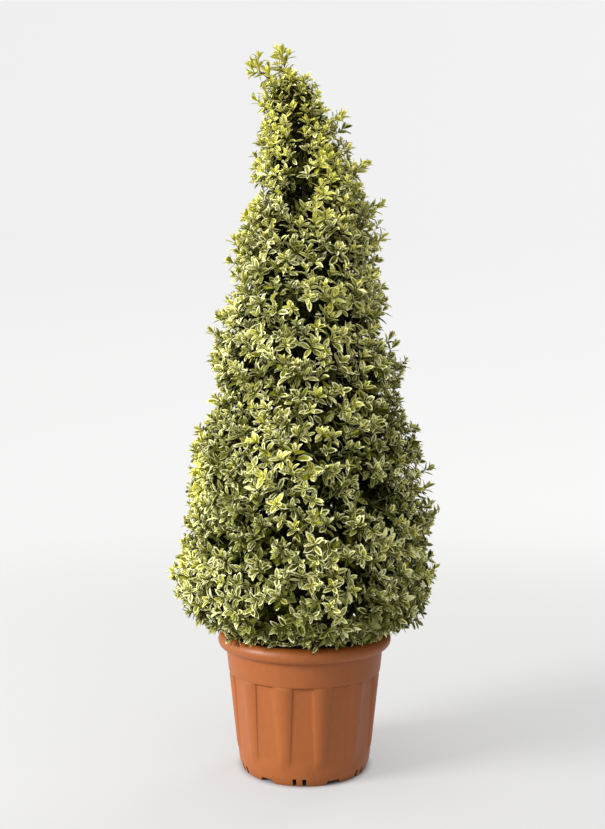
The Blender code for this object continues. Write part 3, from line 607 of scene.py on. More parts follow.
def limbs_beside_trunk(space):
    """Fork and tip of each limb, drawn as the source draws them."""
    rand = random.Random(f"{SEED} {space.name}")
    jitter = ROW_SPACING * SPRAY_JITTER
    tall = BORDERS[space.tier + 1][0] - BORDERS[space.tier][0]
    rows = max(1, round(tall / ROW_SPACING))
    forks, tips = [], []
    for row in range(rows):
        v = ((row + 0.5) * 2 / rows - 1) * 0.98
        width = 2 * space.half * space.reach(0.0, space.height(0.0, v))
        columns = max(2, round(width / SPRAY_SPACING))
        for column in range(columns):
            shift = 0.3 * (-1) ** row / columns
            u = ((column + 0.5) * 2 / columns - 1 + shift) * 0.94
            u = max(-0.82, min(0.82, u + rand.uniform(-jitter, jitter) * 2 / width))
            tip_height = space.height(u, v) + rand.uniform(-jitter, jitter)
            outline = space.reach(u, tip_height)
            reach = outline - TWIG_TIP_DEPTH
            inside = core_radius(outline) - TWIG_SUNK
            fork_height = tip_height - TWIG_RISE * (reach - inside)
            fork_height = max(fork_height, space.height(u, -1) + FORK_TUCK)
            forks.append(space.point(u * 0.94, fork_height, inside))
            tips.append(space.point(u, tip_height, reach))
            for _ in range(SPRAY_DRAWS):
                rand.random()
    return np.array(forks), np.array(tips)


def limbs_of_leader(space):
    rand = random.Random(f"{SEED} {space.name}")
    golden = math.pi * (3 - math.sqrt(5))
    low, high = BORDERS[space.tier][0] + 0.034, LEADER_HEART + 0.008
    forks, tips = [], []
    for i in range(LEADER_TWIGS):
        tip_height = low + (high - low) * (i + 0.5) / LEADER_TWIGS
        space.facing = i * golden + rand.uniform(-0.2, 0.2)
        outline = space.reach(0.0, tip_height)
        reach = max(outline * LEADER_TWIG_LEAST, outline - TWIG_TIP_DEPTH)
        fork_height = max(tip_height - 0.8 * reach, TRUNK_TOP + 0.030)
        forks.append(space.point(0.0, fork_height, 0.002))
        tips.append(space.point(0.0, tip_height, reach))
        for _ in range(SPRAY_DRAWS):
            rand.random()
    space.facing = 0.0
    return np.array(forks), np.array(tips)


def leader_heart():
    return np.array((centre_x(LEADER_HEART), 0.0, LEADER_HEART))


def leader_shoots():
    """Fork, turn and tip of each of the leader's own shoots."""
    degrees, facing, length = np.array(LEADER_SHOOTS).T
    lean, azimuth = np.radians(degrees), np.radians(facing)
    out = np.sin(lean)
    along = stacked(out * np.cos(azimuth), out * np.sin(azimuth), np.cos(lean))
    forks = leader_heart() - along * 0.010
    rise = stacked(0.0, 0.0, SHOOT_RISE * out)
    tips = forks + along * (length + np.array(SHOOT_MORE))[:, None] + rise
    return forks, (forks + tips - rise) / 2, tips


def side_shoots(forks, tips, rng):
    """Short shoots up the sides of longer ones, each turned on from the last."""
    starts, ends = [], []
    for fork, tip in zip(forks, tips):
        along = (tip - fork) / np.linalg.norm(tip - fork)
        count = int(np.linalg.norm(tip - fork) / SIDE_SPACING)
        turn = rng.uniform(0, math.tau)
        for i in range(count):
            turn += 2.4
            side = unit(np.cross(along, (math.cos(turn), math.sin(turn), 0.3)))
            start = fork + (tip - fork) * (i + 0.6) / (count + 0.8)
            lean = unit(along * 0.75 + side * 0.75 + UPWARDS * 0.25)
            starts.append(start)
            ends.append(start + lean * rng.uniform(*SIDE_LENGTH))
    starts, ends, each = np.array(starts), np.array(ends), np.ones(len(ends))
    return Shoots(starts, (starts + ends) / 2, ends, each * SIDE_SIZE, each * SIDE_YOUTH)


# ---- Shoots ---------------------------------------------------------------------------


def bent(starts, turns, ends, share):
    """Points on curves from starts to ends drawn towards turns: (1-t)^2 a + 2t(1-t) b + t^2 c."""
    t = share[..., None]
    a, b, c = starts[:, None], turns[:, None], ends[:, None]
    return (1 - t) ** 2 * a + 2 * t * (1 - t) * b + t**2 * c


def bent_along(starts, turns, ends, share):
    t = share[..., None]
    a, b, c = starts[:, None], turns[:, None], ends[:, None]
    return unit((1 - t) * (b - a) + t * (c - b))


class Rows:
    """Arrays with a row for each shoot or leaf, which are picked and joined together."""

    def __init__(self, *arrays):
        for name, array in zip(self.names, arrays):
            setattr(self, name, array)

    def __len__(self):
        return len(getattr(self, self.names[0]))

    def pick(self, wanted):
        return type(self)(*(getattr(self, name)[wanted] for name in self.names))

    @classmethod
    def joined(cls, several):
        return cls(*(np.concatenate([getattr(s, n) for s in several]) for n in cls.names))


class Shoots(Rows):
    """Where each shoot forks, turns and ends, its size and its youth."""

    names = ("starts", "turns", "ends", "size", "youth")


class Leaves(Rows):
    """Each leaf's root, its direction, its upper side, its length and its youth."""

    names = ("root", "along", "face", "length", "youth")


def staggered(space, spacing):
    """u and height of staggered rows, evenly over the mass's outside."""
    low, high = BORDERS[space.tier][0], BORDERS[space.tier + 1][0]
    if space.is_leader:
        high = LEADER_HEART + LEADER_GROWTH_TOP
    rows = max(1, round((high - low) / spacing))
    us, heights = [], []
    for row in range(rows):
        v = (row + 0.5) * 2 / rows - 1
        level = low + (high - low) * (v + 1) / 2 if space.is_leader else space.height(0.0, v)
        columns = max(2, round(2 * space.half * float(space.reach(0.0, level)) / spacing))
        u = (np.arange(columns) + 0.5) * 2 / columns - 1 + 0.5 * (-1) ** row / columns
        us.append(u)
        heights.append(np.full(columns, level) if space.is_leader else space.height(u, v))
    return np.concatenate(us), np.concatenate(heights)


def bare(points, rng):
    """Whether each tip is in a bare place, whose edge is ragged."""
    hidden = np.zeros(len(points), bool)
    for height, azimuth, wide, tall in BARE_PLACES:
        turn = math.radians(azimuth)
        off = points - outline_point(height, azimuth)
        across = (off[:, :2] @ np.array((-math.sin(turn), math.cos(turn)))) / (wide + BARE_EDGE)
        up = off[:, 2] / (tall + BARE_EDGE)
        near = np.linalg.norm(off, axis=1) < 0.08
        hidden |= near & (across**2 + up**2 < rng.uniform(0.7, 1.15, len(points)))
    return hidden


def patches(points):
    """Slow waves through the crown, from -1 to 1, that youth and size follow."""
    x, y, z = points.T
    waves = np.sin(31 * x + 17 * z + 1.3) + np.sin(27 * y - 21 * z + 0.4)
    return (waves + np.sin(19 * z + 23 * x - 29 * y)) / 3


def youth_of(points, rng):
    """From 0, old and creamy, to 1, young and yellow: more so higher up, for new growth and as
    painted light from above, more towards -X as painted light, and less at the bottom as painted
    shade.
    """
    x, _, z = points.T
    # risen: younger higher up, for real new growth and as painted light from above.
    # painted_light_side: painted light, lighter towards -X where the lamp is. low: painted shade,
    # darker at the bottom under the belly.
    risen = np.clip((z - 0.42) / 0.72, 0, 1)
    painted_light_side = np.clip(-x / 0.20, -1, 1)
    low = np.clip((0.31 - z) / 0.08, 0, 1)
    youth = 0.24 + 0.42 * risen + 0.08 * painted_light_side - 0.60 * low + 0.16 * patches(points)
    for height, azimuth, size, more in YOUNG_PLACES:
        off = np.linalg.norm(points - outline_point(height, azimuth), axis=1) / size
        youth = youth + more * np.exp(-(off**2) / 2)
    return np.clip(youth + rng.normal(0, 0.13, len(points)), 0, 1)


def layer_shoots(space, limbs, layer, rng):
    """Shoots that fork from the nearest limb and end in this layer, turned up and out."""
    spacing, depth, spread = layer
    u, height = staggered(space, spacing)
    u = u + rng.uniform(-1, 1, len(u)) * TIP_JITTER * spacing / (space.half * 0.2)
    height = height + rng.uniform(-1, 1, len(u)) * TIP_JITTER * spacing
    azimuth = space.azimuth(u, height)
    outline = crown_radius(height, azimuth)
    normal = crown_normal(height, azimuth)
    deep = np.maximum(rng.normal(depth, spread, len(u)), depth - 2 * spread)
    long = rng.random(len(u)) < LONG_SHARE
    if layer is OUTER_LAYER:
        deep = np.where(long, rng.uniform(*LONG_DEPTH, len(u)), deep)
    deep = np.minimum(deep, outline * 0.45)
    ends = crown_point(height, azimuth, outline) - normal * deep[:, None]
    risen = np.clip((height - 0.45) / 0.50, 0.0, 1.0)
    upturn = SHOOT_UPTURN[0] + (SHOOT_UPTURN[1] - SHOOT_UPTURN[0]) * risen
    upturn = upturn * np.clip((height - 0.20) / 0.12, 0.0, 1.0)
    heading = normal + UPWARDS * upturn[:, None]
    heading = unit(heading + rng.normal(0, SHOOT_WANDER, (len(u), 3)))
    return shoots_from(limbs, ends, heading, rng)


def shoots_from(limbs, ends, heading, rng):
    """Each shoot forks from the limb whose tip is nearest, and bends into its heading."""
    forks, tips = limbs
    nearest = np.argmin(np.linalg.norm(ends[:, None] - tips[None], axis=2), axis=1)
    limb_start, limb_end = forks[nearest], tips[nearest]
    share = rng.uniform(0.25, 0.85, len(ends))[:, None]
    starts = limb_start + (limb_end - limb_start) * share
    long = np.linalg.norm(ends - starts, axis=1)
    turns = ends - heading * (long * 0.5)[:, None]
    size = np.clip(rng.normal(1.0, 0.12, len(ends)) + 0.08 * patches(ends * 1.7), 0.74, 1.22)
    size *= 1.03 - 0.20 * np.clip((ends[:, 2] - 0.85) / 0.40, 0, 1)
    return Shoots(starts, turns, ends, size, youth_of(ends, rng))


def strays(space, limbs, rng):
    """The single shoots of this mass that stand out past the outline, turned up."""
    height, azimuth, out = np.array(STRAYS).T
    azimuth = np.radians(azimuth)
    mine = (border_height(space.tier, azimuth) < height) & (
        height <= border_height(space.tier + 1, azimuth)
    )
    middle = space.azimuth(0.0, height)
    turn = (azimuth - middle + math.pi) % math.tau - math.pi
    mine &= np.abs(turn) <= space.half
    height, azimuth, out = height[mine], azimuth[mine], out[mine]
    ends = crown_point(height, azimuth, crown_radius(height, azimuth) + out)
    heading = unit(crown_normal(height, azimuth) + UPWARDS * 0.9)
    return shoots_from(limbs, ends, heading, rng)


def fringe_shoots(space, limbs, rng):
    """Old shoots that hang just over the rim all the way round."""
    count = round(2 * space.half * RIM_RADIUS / FRINGE_SPACING)
    u = (np.arange(count) + rng.uniform(0.1, 0.9, count)) * 2 / count - 1
    height = rng.uniform(*FRINGE_HEIGHT, count)
    azimuth = space.azimuth(u, height)
    ends = crown_point(height, azimuth, rng.uniform(*FRINGE_RADIUS, count))
    out = stacked(np.cos(azimuth), np.sin(azimuth), rng.uniform(*FRINGE_DROOP, count))
    shoots = shoots_from(limbs, ends, unit(out), rng)
    # Their youth is kept near 0: old growth, and painted shade under the crown's belly.
    shoots.youth = rng.uniform(0.0, 0.10, count)
    shoots.size = shoots.size * FRINGE_SIZE
    return shoots


# ---- Leaves ---------------------------------------------------------------------------


def leaves_on(shoots, pairs, rng):
    """Opposite pairs set crosswise, by the table of pairs scaled to each shoot.

    A pair's roots lie back from the tip along the shoot. A leaf leaves the shoot at its
    spread, its upper side towards the shoot's tip and a little towards the light.
    """
    count, rows = len(shoots), len(pairs)
    size = shoots.size[:, None]
    back = pairs[:, 0] * size
    long = np.linalg.norm(shoots.ends - shoots.turns, axis=1)[:, None] * 2
    share = np.clip(1 - back / long, 0.05, 1.0)
    roots = bent(shoots.starts, shoots.turns, shoots.ends, share)
    stem = bent_along(shoots.starts, shoots.turns, shoots.ends, share)
    side = unit(np.cross(stem, UPWARDS + 0.01))
    other = np.cross(stem, side)
    phase = rng.uniform(0, math.pi, (count, 1)) + np.arange(rows) * math.pi / 2
    phase = phase + rng.normal(0, 0.16, (count, rows))
    spread = np.radians(pairs[:, 2])[None, :, None] + rng.normal(0, 0.17, (count, rows, 2))
    out = side * np.cos(phase)[..., None] + other * np.sin(phase)[..., None]
    out = np.stack((out, -out), 2)
    stem = stem[:, :, None]
    c, s = np.cos(spread)[..., None], np.sin(spread)[..., None]
    along = stem * c + out * s
    face = stem * s - out * c
    face = face + 0.22 * UPWARDS + rng.normal(0, 0.13, face.shape)
    face = unit(face - along * (face * along).sum(-1, keepdims=True))
    length = pairs[:, 1][None, :, None] * size[..., None]
    length = length * np.clip(rng.normal(1.0, 0.11, (count, rows, 2)), 0.7, 1.3)
    ages = np.linspace(0.18, -0.22, rows)[None, :, None]
    youth = shoots.youth[:, None, None] + ages + rng.normal(0, 0.05, (count, rows, 2))
    roots = np.broadcast_to(roots[:, :, None], along.shape)
    flat = [part.reshape(-1, 3) for part in (roots, along, face)]
    return Leaves(*flat, length.ravel(), np.clip(youth.ravel(), 0, 1))


def clear_of_pot(leaves):
    """Leaves that stay out of the rim and the wall."""
    wanted = np.ones(len(leaves), bool)
    for share in (0.0, 0.4, 0.7, 1.0):
        point = leaves.root + leaves.along * (leaves.length * share)[:, None]
        radius = np.hypot(point[:, 0], point[:, 1])
        low = point[:, 2] < POT_HEIGHT + 0.003
        wanted &= ~(low & (radius < RIM_RADIUS + 0.004))
        wanted &= point[:, 2] > 0.196
    return wanted


def inside_box(leaves):
    """Leaves that stay within what the solids reach, and a little more."""
    low, high = np.array(CAD_BOX[0]) - 0.012, np.array(CAD_BOX[1]) + 0.008
    tip = leaves.root + leaves.along * leaves.length[:, None]
    return ((tip > low) & (tip < high)).all(axis=1)


def blades(leaves, ringed, rng):
    """Points and faces of folded blades with a green middle and a pale margin.

    Across a blade s runs over -1, -m, -g, 0, g, m, 1, where g is the middle's share of
    the width and m that of the middle with its feathered edge, and along it t runs over
    the rows. A point lies at root + L(t d + w(t) s a + (fold |s| w(t) - bend t^2 + wave) n),
    with d along the leaf, a across and n its face.
    """
    count = len(leaves)
    rows = len(LEAF_ROWS)
    length = leaves.length[:, None, None, None]
    across = np.cross(leaves.along, leaves.face)
    width = LEAF_WIDTH / 2 * np.clip(rng.normal(1.0, 0.10, count), 0.75, 1.3)
    broad = np.where(rng.random(count) < BROAD_SHARE, *BROAD_MIDDLE)
    green = np.clip(broad - 0.22 * leaves.youth + rng.normal(0, 0.07, count), 0.22, 0.84)
    middle = green[:, None] * LEAF_GREEN * rng.uniform(0.82, 1.08, (count, rows))
    feather = middle + (1 - middle) * FEATHER * rng.uniform(0.6, 1.3, (count, rows))
    heart, ring = middle * RING_HEART, middle + (1 - middle) * RING_OUT
    middle = np.where(ringed[:, None], heart, middle)
    feather = np.where(ringed[:, None], ring, feather)
    zero, one = np.zeros((count, rows)), np.ones((count, rows))
    s = np.stack((-one, -feather, -middle, zero, middle, feather, one), -1)
    w = (width[:, None] * LEAF_OUTLINE)[..., None]
    t = LEAF_ROWS[None, :, None]
    fold = rng.uniform(0.12, 0.52, count)[:, None, None]
    bend = rng.normal(0.16, 0.13, count)[:, None, None]
    phase = rng.uniform(0, math.tau, count)[:, None, None]
    wave = 0.022 * np.sin(6.5 * t + phase + 1.5 * s) * np.abs(s)
    rise = fold * np.abs(s) * w - bend * t * t + wave
    root, along, face, across = (
        part[:, None, None] for part in (leaves.root, leaves.along, leaves.face, across)
    )
    out = t[..., None] * along + (w * s)[..., None] * across + rise[..., None] * face
    end = root + length * (along - bend[..., None] * face)
    rings = (root, root + length * out, end)
    points = np.concatenate([part.reshape(count, -1, 3) for part in rings], 1)
    wide = s.shape[-1]
    squares = 1 + grid_faces(rows, wide, closed=False)
    j, last = np.arange(wide - 1), 1 + (rows - 1) * wide
    roots = np.stack((0 * j, 2 + j, 1 + j), -1)
    tips = np.stack((last + j, last + j + 1, last + wide + 0 * j), -1)
    return points, squares, np.tile(STRIPS, rows - 1), np.concatenate((roots, tips))


def shade_numbers(youth, count, rng, blur):
    """The shade nearest to each leaf's youth, out of count in order."""
    place = youth * (count - 1) + rng.normal(0, blur, len(youth))
    return np.clip(np.round(place), 0, count - 1).astype(int)


def leaf_piece(name, leaves, finishes, rng):
    """One piece of blades in streaks of green, sage and cream.

    A leaf has a green middle that runs into its margin in streaks, or a sage heart in a
    green ring. A few are nearly all green or all pale, as on the real plant.
    """
    ringed = rng.random(len(leaves)) < RINGED_SHARE
    points, squares, strip, ends = blades(leaves, ringed, rng)
    count, each = points.shape[:2]
    per_face = (count, len(strip))
    green = shade_numbers(leaves.youth, len(GREENS), rng, 0.75)
    sage = shade_numbers(leaves.youth, len(SAGES), rng, 0.70)
    margin = shade_numbers(leaves.youth, len(MARGINS), rng, 0.55)
    margin = margin + len(GREENS) + len(SAGES)
    greens = green[:, None] + rng.choice((-1, 0, 0, 1, 2), per_face)
    greens = np.clip(greens, 0, len(GREENS) - 1)
    sages = sage[:, None] + rng.choice((-1, 0, 0, 1), per_face)
    sages = len(GREENS) + np.clip(sages, 0, len(SAGES) - 1)
    chance = rng.random(count)
    all_green = chance < 0.04 + 0.14 * np.clip(1 - leaves.youth / 0.16, 0, 1)
    all_pale = chance > 1 - 0.02 - 0.04 * leaves.youth
    margin = np.where(all_green, green, margin)
    heart = np.where(rng.random(per_face) < 0.75, sages, greens)
    streaks = np.where(rng.random(per_face) < FEATHERED_PALE, margin[:, None], sages)
    inner = np.where(ringed[:, None] & ~all_green[:, None], heart, greens)
    outer = np.where(ringed[:, None] | all_green[:, None], greens, streaks)
    worn = np.where(strip == 0, margin[:, None], np.where(strip == 1, outer, inner))
    worn = np.where(all_pale[:, None], margin[:, None], worn)
    root_worn = np.where(all_pale, margin, green)
    end_worn = np.repeat(np.stack((root_worn, margin), 1), len(STRIPS), axis=1)
    first = (np.arange(count) * each)[:, None, None]
    faces = [
        ((first + squares).reshape(-1, 4), worn.ravel()),
        ((first + ends).reshape(-1, 3), end_worn.ravel()),
    ]
    return new_piece(name, points.reshape(-1, 3), faces, finishes)


def shade_leaf_piece(name, leaves, finishes, rng):
    """Plain folded blades of six faces, for the shade inside the crown.

    Two rows of three points lie at root + L(t d + s w a + (fold |s| w - droop t^2) n),
    with s -1, 0 or 1 across, and a point ends the blade at either end.
    """
    count = len(leaves)
    length = leaves.length[:, None, None, None]
    t = np.array((0.28, 0.70))[None, :, None, None]
    s = np.array((-1.0, 0.0, 1.0))[None, None, :, None]
    w = LEAF_WIDTH / 2 * 1.05
    fold = rng.uniform(0.1, 0.5, count)[:, None, None, None]
    across = np.cross(leaves.along, leaves.face)
    root, along, face, across = (
        part[:, None, None] for part in (leaves.root, leaves.along, leaves.face, across)
    )
    rise = fold * np.abs(s) * w - SHADE_DROOP * t * t
    body = root + length * (t * along + s * w * across + rise * face)
    rings = (root, body, root + length * (along - SHADE_DROOP * face))
    points = np.concatenate([part.reshape(count, -1, 3) for part in rings], 1)
    first = (np.arange(count) * 8)[:, None, None]
    squares = first + np.array(((1, 2, 5, 4), (2, 3, 6, 5)))
    ends = first + np.array(((0, 2, 1), (0, 3, 2), (4, 5, 7), (5, 6, 7)))
    shade = shade_numbers(leaves.youth, len(finishes), rng, 0.6)
    faces = [
        (squares.reshape(-1, 4), np.repeat(shade, 2)),
        (ends.reshape(-1, 3), np.repeat(shade, 4)),
    ]
    return new_piece(name, points.reshape(-1, 3), faces, finishes)


# ---- Twigs, boughs and trunk ----------------------------------------------------------


def tubes(starts, turns, ends, radius, tip_radius, sides, steps, relief=0.0):
    """Tapering tubes along bent lines, each closed at its ends.

    Ring k is a circle round the line's point at t = k / (steps - 1), whose radius runs
    from radius to tip_radius and is swelled by relief (sin 3a + sin (5a + 9t)) / 2.
    """
    count = len(starts)
    share = np.broadcast_to(np.linspace(0, 1, steps), (count, steps))
    middle = bent(starts, turns, ends, share)
    along = bent_along(starts, turns, ends, share)
    hint = np.array((0.31, 0.17, 0.93))
    flat = np.abs((hint * along).sum(-1, keepdims=True)) > 0.94
    hint = np.where(flat, np.array((1.0, 0.2, 0.0)), hint)
    side = unit(np.cross(along, hint))
    other = np.cross(along, side)
    angle = np.arange(sides) * math.tau / sides
    thick = (radius + (tip_radius - radius) * share)[..., None]
    bumps = np.sin(3 * angle) + np.sin(5 * angle + 9 * share[..., None])
    thick = (thick * (1 + relief / 2 * bumps))[..., None]
    turned = np.cos(angle)[:, None], np.sin(angle)[:, None]
    ring = side[:, :, None] * turned[0] + other[:, :, None] * turned[1]
    body = (middle[:, :, None] + ring * thick).reshape(count, -1, 3)
    points = np.concatenate((body, starts[:, None], ends[:, None]), 1)
    first = (np.arange(count) * points.shape[1])[:, None, None]
    squares, fans = closed_grid(steps, sides)
    return points.reshape(-1, 3), (first + squares).reshape(-1, 4), (first + fans).reshape(-1, 3)


def bough_tubes(limbs, stem):
    """Boughs from a mass's stem, or the leader's, out to its limbs' forks and on to their tips."""
    forks, tips = limbs
    foot, head = stem
    line = head - foot
    share = np.clip(((forks - foot) @ line) / (line @ line), 0.25, 1.0)[:, None]
    starts = foot + line * share
    turns = (starts + forks) / 2 + np.array((0.0, 0.0, -0.008))
    inner = tubes(starts, turns, forks, *BOUGH_RADII, 8, 6, 0.10)
    outer = tubes(forks, (forks + tips) / 2, tips, *LIMB_RADII, 8, 5, 0.08)
    middle = (foot + head)[None] / 2
    main = tubes(foot[None], middle, head[None], STEM_RADIUS, STEM_TIP_RADIUS, 12, 8, 0.12)
    return [inner, outer, main]


def trunk_surface():
    """The trunk: rings round its swaying axis, with furrows that wander as they rise.

    The radius at height h and angle a is the trunk's radius times 1 plus furrows, which
    are sharpened waves of a with a slow drift in h, plus a few rings of old leaf scars.
    """
    rows, sides = 150, 40
    height = np.linspace(COMPOST_HEIGHT - 0.004, TRUNK_TOP, rows)
    angle = np.arange(sides) * math.tau / sides
    h, a = np.meshgrid(height, angle, indexing="ij")
    drift = 0.5 * np.sin(38 * h) + 0.3 * np.sin(91 * h + 2)
    furrows = np.abs(np.sin(3.5 * a + drift)) ** 0.6
    furrows = furrows + 0.6 * np.abs(np.sin(6 * a - 2 * drift + 40 * h))
    scars = 0.05 * np.exp(-(((h * 24) % 1 - 0.5) ** 2) / 0.01)
    radius = trunk_radius(np.maximum(h, COMPOST_HEIGHT)) * (0.93 + 0.075 * furrows + scars)
    axis = trunk_points(np.maximum(h, COMPOST_HEIGHT))
    points = axis + stacked(np.cos(a) * radius, np.sin(a) * radius, 0.0)
    points[..., 2] = h
    poles = np.array((points[0].mean(0), points[-1].mean(0)))
    return np.concatenate((points.reshape(-1, 3), poles)), *closed_grid(rows, sides)


def surface_piece(name, surfaces, finish):
    """One piece of one or more surfaces, each given as its points, squares and triangles."""
    firsts = np.cumsum([0] + [len(points) for points, _, _ in surfaces])
    squares = [(four + first, 0) for (_, four, _), first in zip(surfaces, firsts)]
    triangles = [(three + first, 0) for (_, _, three), first in zip(surfaces, firsts)]
    points = np.concatenate([points for points, _, _ in surfaces])
    return new_piece(name, points, squares + triangles, [finish])


# ---- Pot and compost ------------------------------------------------------------------


def arc(middle, size, start, end, count):
    """Points of an ellipse in the (radius, height) plane, by angle in degrees."""
    turn = np.radians(np.linspace(start, end, count))
    return np.stack((middle[0] + size[0] * np.cos(turn), middle[1] + size[1] * np.sin(turn)), 1)


def spaced(start, end, count):
    """Points after start up to end."""
    share = np.linspace(0, 1, count + 1)[1:, None]
    return np.array(start) + (np.array(end) - np.array(start)) * share


def wall_radius(height):
    share = (height - WALL_FOOT[1]) / (WALL_TOP[1] - WALL_FOOT[1])
    return WALL_FOOT[0] + (WALL_TOP[0] - WALL_FOOT[0]) * share


def pot_profile():
    """(radius, height) from the inside's axis over the rim and down to the underside's axis.

    It comes in three stretches, of which the middle one is the ribbed wall.
    """
    t = WALL_THICKNESS
    lip = (RIM_RADIUS - RIM_ROLL_WIDTH, POT_HEIGHT - RIM_ROLL_HEIGHT / 2)
    wall_inside = (WALL_TOP[0] - t, WALL_TOP[1])
    collar_inside = (COLLAR_TOP[0] - t - 0.004, COLLAR_TOP[1] - 0.008)
    collar_foot = (COLLAR_FOOT[0] + 0.0001, COLLAR_FOOT[1] + 0.0010)
    skirt_inside = SKIRT_FOOT[0] - SKIRT_WIDTH
    underside = (skirt_inside - 0.001, FLOOR_UNDERSIDE)
    before = (
        [(0.0, FLOOR_TOP)],
        spaced((0, FLOOR_TOP), (SKIRT_TOP[0] - t - 0.004, FLOOR_TOP), 4),
        spaced((SKIRT_TOP[0] - t - 0.001, FLOOR_TOP + 0.003), wall_inside, 8),
        spaced(wall_inside, collar_inside, 4),
        [(lip[0] - 0.0072, POT_HEIGHT - 0.0115), (lip[0] - 0.0058, POT_HEIGHT - 0.0045)],
        arc((lip[0] - 0.0030, POT_HEIGHT - 0.0028), (0.0028, 0.0028), 180, 90, 5),
        arc(lip, (RIM_ROLL_WIDTH, RIM_ROLL_HEIGHT / 2), 84, -90, 18),
        arc((COLLAR_TOP[0] + 0.0014, COLLAR_TOP[1]), (0.0014, 0.0014), 90, 180, 4),
        spaced((COLLAR_TOP[0], COLLAR_TOP[1] - 0.001), collar_foot, 8),
        arc((COLLAR_FOOT[0] - 0.0012, COLLAR_FOOT[1] + 0.0006), (0.0012, 0.0016), 0, -90, 5),
    )
    wall = spaced((0, COLLAR_FOOT[1] - 0.0012), (0, RIBS_END), 40)
    after = (
        spaced((wall_radius(RIBS_END), RIBS_END), SKIRT_TOP, 4),
        spaced(SKIRT_TOP, (SKIRT_FOOT[0] + 0.0006, 0.0022), 3),
        arc((SKIRT_FOOT[0] - 0.0012, 0.0016), (0.0015, 0.0016), 10, -90, 4),
        [(skirt_inside + 0.0008, 0.0)],
        arc((skirt_inside + 0.0008, 0.0008), (0.0008, 0.0008), 230, 180, 2),
        [(skirt_inside, FLOOR_UNDERSIDE - 0.001), underside],
        spaced(underside, (0, FLOOR_UNDERSIDE), 4),
    )
    return np.concatenate(before), wall, np.concatenate(after)


def eased(share):
    return share * share * (3 - 2 * share)


def pot_grid():
    """The turned pot with its ribs, as one closed grid of azimuth against profile.

    Columns follow the ribs' edges down the wall. On the wall the radius is the wall's,
    plus on a rib its height and its crown 1 - k^2, with a smooth step at each side, and
    minus a little in the middle of a panel, which is flat. Ribs die away at the foot.
    """
    before, wall, after = pot_profile()
    turned = np.concatenate((before, wall, after))
    is_wall = np.zeros(len(turned), bool)
    is_wall[len(before) : len(before) + len(wall)] = True
    height = turned[:, 1]
    # across one rib and the panel after it
    rib = np.array((-0.97, -0.88, -0.74, -0.56, -0.3, 0.0, 0.3, 0.56, 0.74, 0.88, 0.97))
    edge = np.linspace(-0.5, 0.5, 5)
    panel = np.linspace(0, 1, 9)[1:-1]
    up = np.clip((height - (WALL_FOOT[1] - 0.012)) / (WALL_TOP[1] - WALL_FOOT[1] + 0.012), 0, 1)
    half = (RIB_FOOT_WIDTH + (RIB_TOP_WIDTH - RIB_FOOT_WIDTH) * up) / 2
    base = np.where(is_wall, wall_radius(height), 0.128)
    half, step = half / base, RIB_EDGE / base
    period = math.tau / RIB_COUNT
    low, high = half + step / 2, period - half - step / 2
    edges = np.outer(step, edge)
    columns = (
        np.outer(half - step / 2, rib),
        half[:, None] + edges,
        low[:, None] + np.outer(high - low, panel),
        period - half[:, None] + edges,
    )
    columns = np.concatenate(columns, 1)
    rise = (rib * 0 + 1, eased(0.5 - edge), panel * 0, eased(0.5 + edge))
    crown = (1 - rib**2, edge * 0, panel * 0, edge * 0)
    flat = (rib * 0, edge * 0, 4 * panel * (1 - panel), edge * 0)
    rise, crown, flat = (np.concatenate(parts) for parts in (rise, crown, flat))
    fade = eased(np.clip((height - RIBS_FADE_START) / RIBS_FADE, 0, 1))[:, None]
    stand = (0.0022 + (RIB_STANDS_OUT + RIB_CROWN - 0.0016) * up)[:, None] * fade
    shape = rise * (RIB_EDGE_SHARE + (1 - RIB_EDGE_SHARE) * crown)
    wall_shape = wall_radius(height)[:, None] + shape * stand - PANEL_SUNK * flat * fade
    radius = np.where(is_wall[:, None], wall_shape, turned[:, :1])
    turns = RIB_TURN + np.arange(RIB_COUNT) * period
    azimuth = (turns[None, :, None] + columns[:, None, :]).reshape(len(height), -1)
    radius = np.tile(radius, (1, RIB_COUNT))
    return stacked(np.cos(azimuth) * radius, np.sin(azimuth) * radius, height[:, None])


def capped(points):
    """A grid whose first and last rows have shrunk to points, as points and faces."""
    rows, columns = points.shape[:2]
    poles = np.array((points[0].mean(0), points[-1].mean(0)))
    body = points[1:-1].reshape(-1, 3)
    return np.concatenate((body, poles)), *closed_grid(rows - 2, columns)


def cutter(azimuth, width, top_width, height):
    """A block through the skirt at this azimuth, from below the pot up to height."""
    bm = bmesh.new()
    bmesh.ops.create_cube(bm, size=1)
    for vert in bm.verts:
        top = vert.co.z > 0
        x = vert.co.x * 0.030 + SKIRT_FOOT[0]
        y = vert.co.y * (top_width if top else width)
        z = height if top else -0.004
        vert.co = (
            x * math.cos(azimuth) - y * math.sin(azimuth),
            x * math.sin(azimuth) + y * math.cos(azimuth),
            z,
        )
    mesh = bpy.data.meshes.new("drain")
    bm.to_mesh(mesh)
    bm.free()
    return bpy.data.objects.new("drain", mesh)


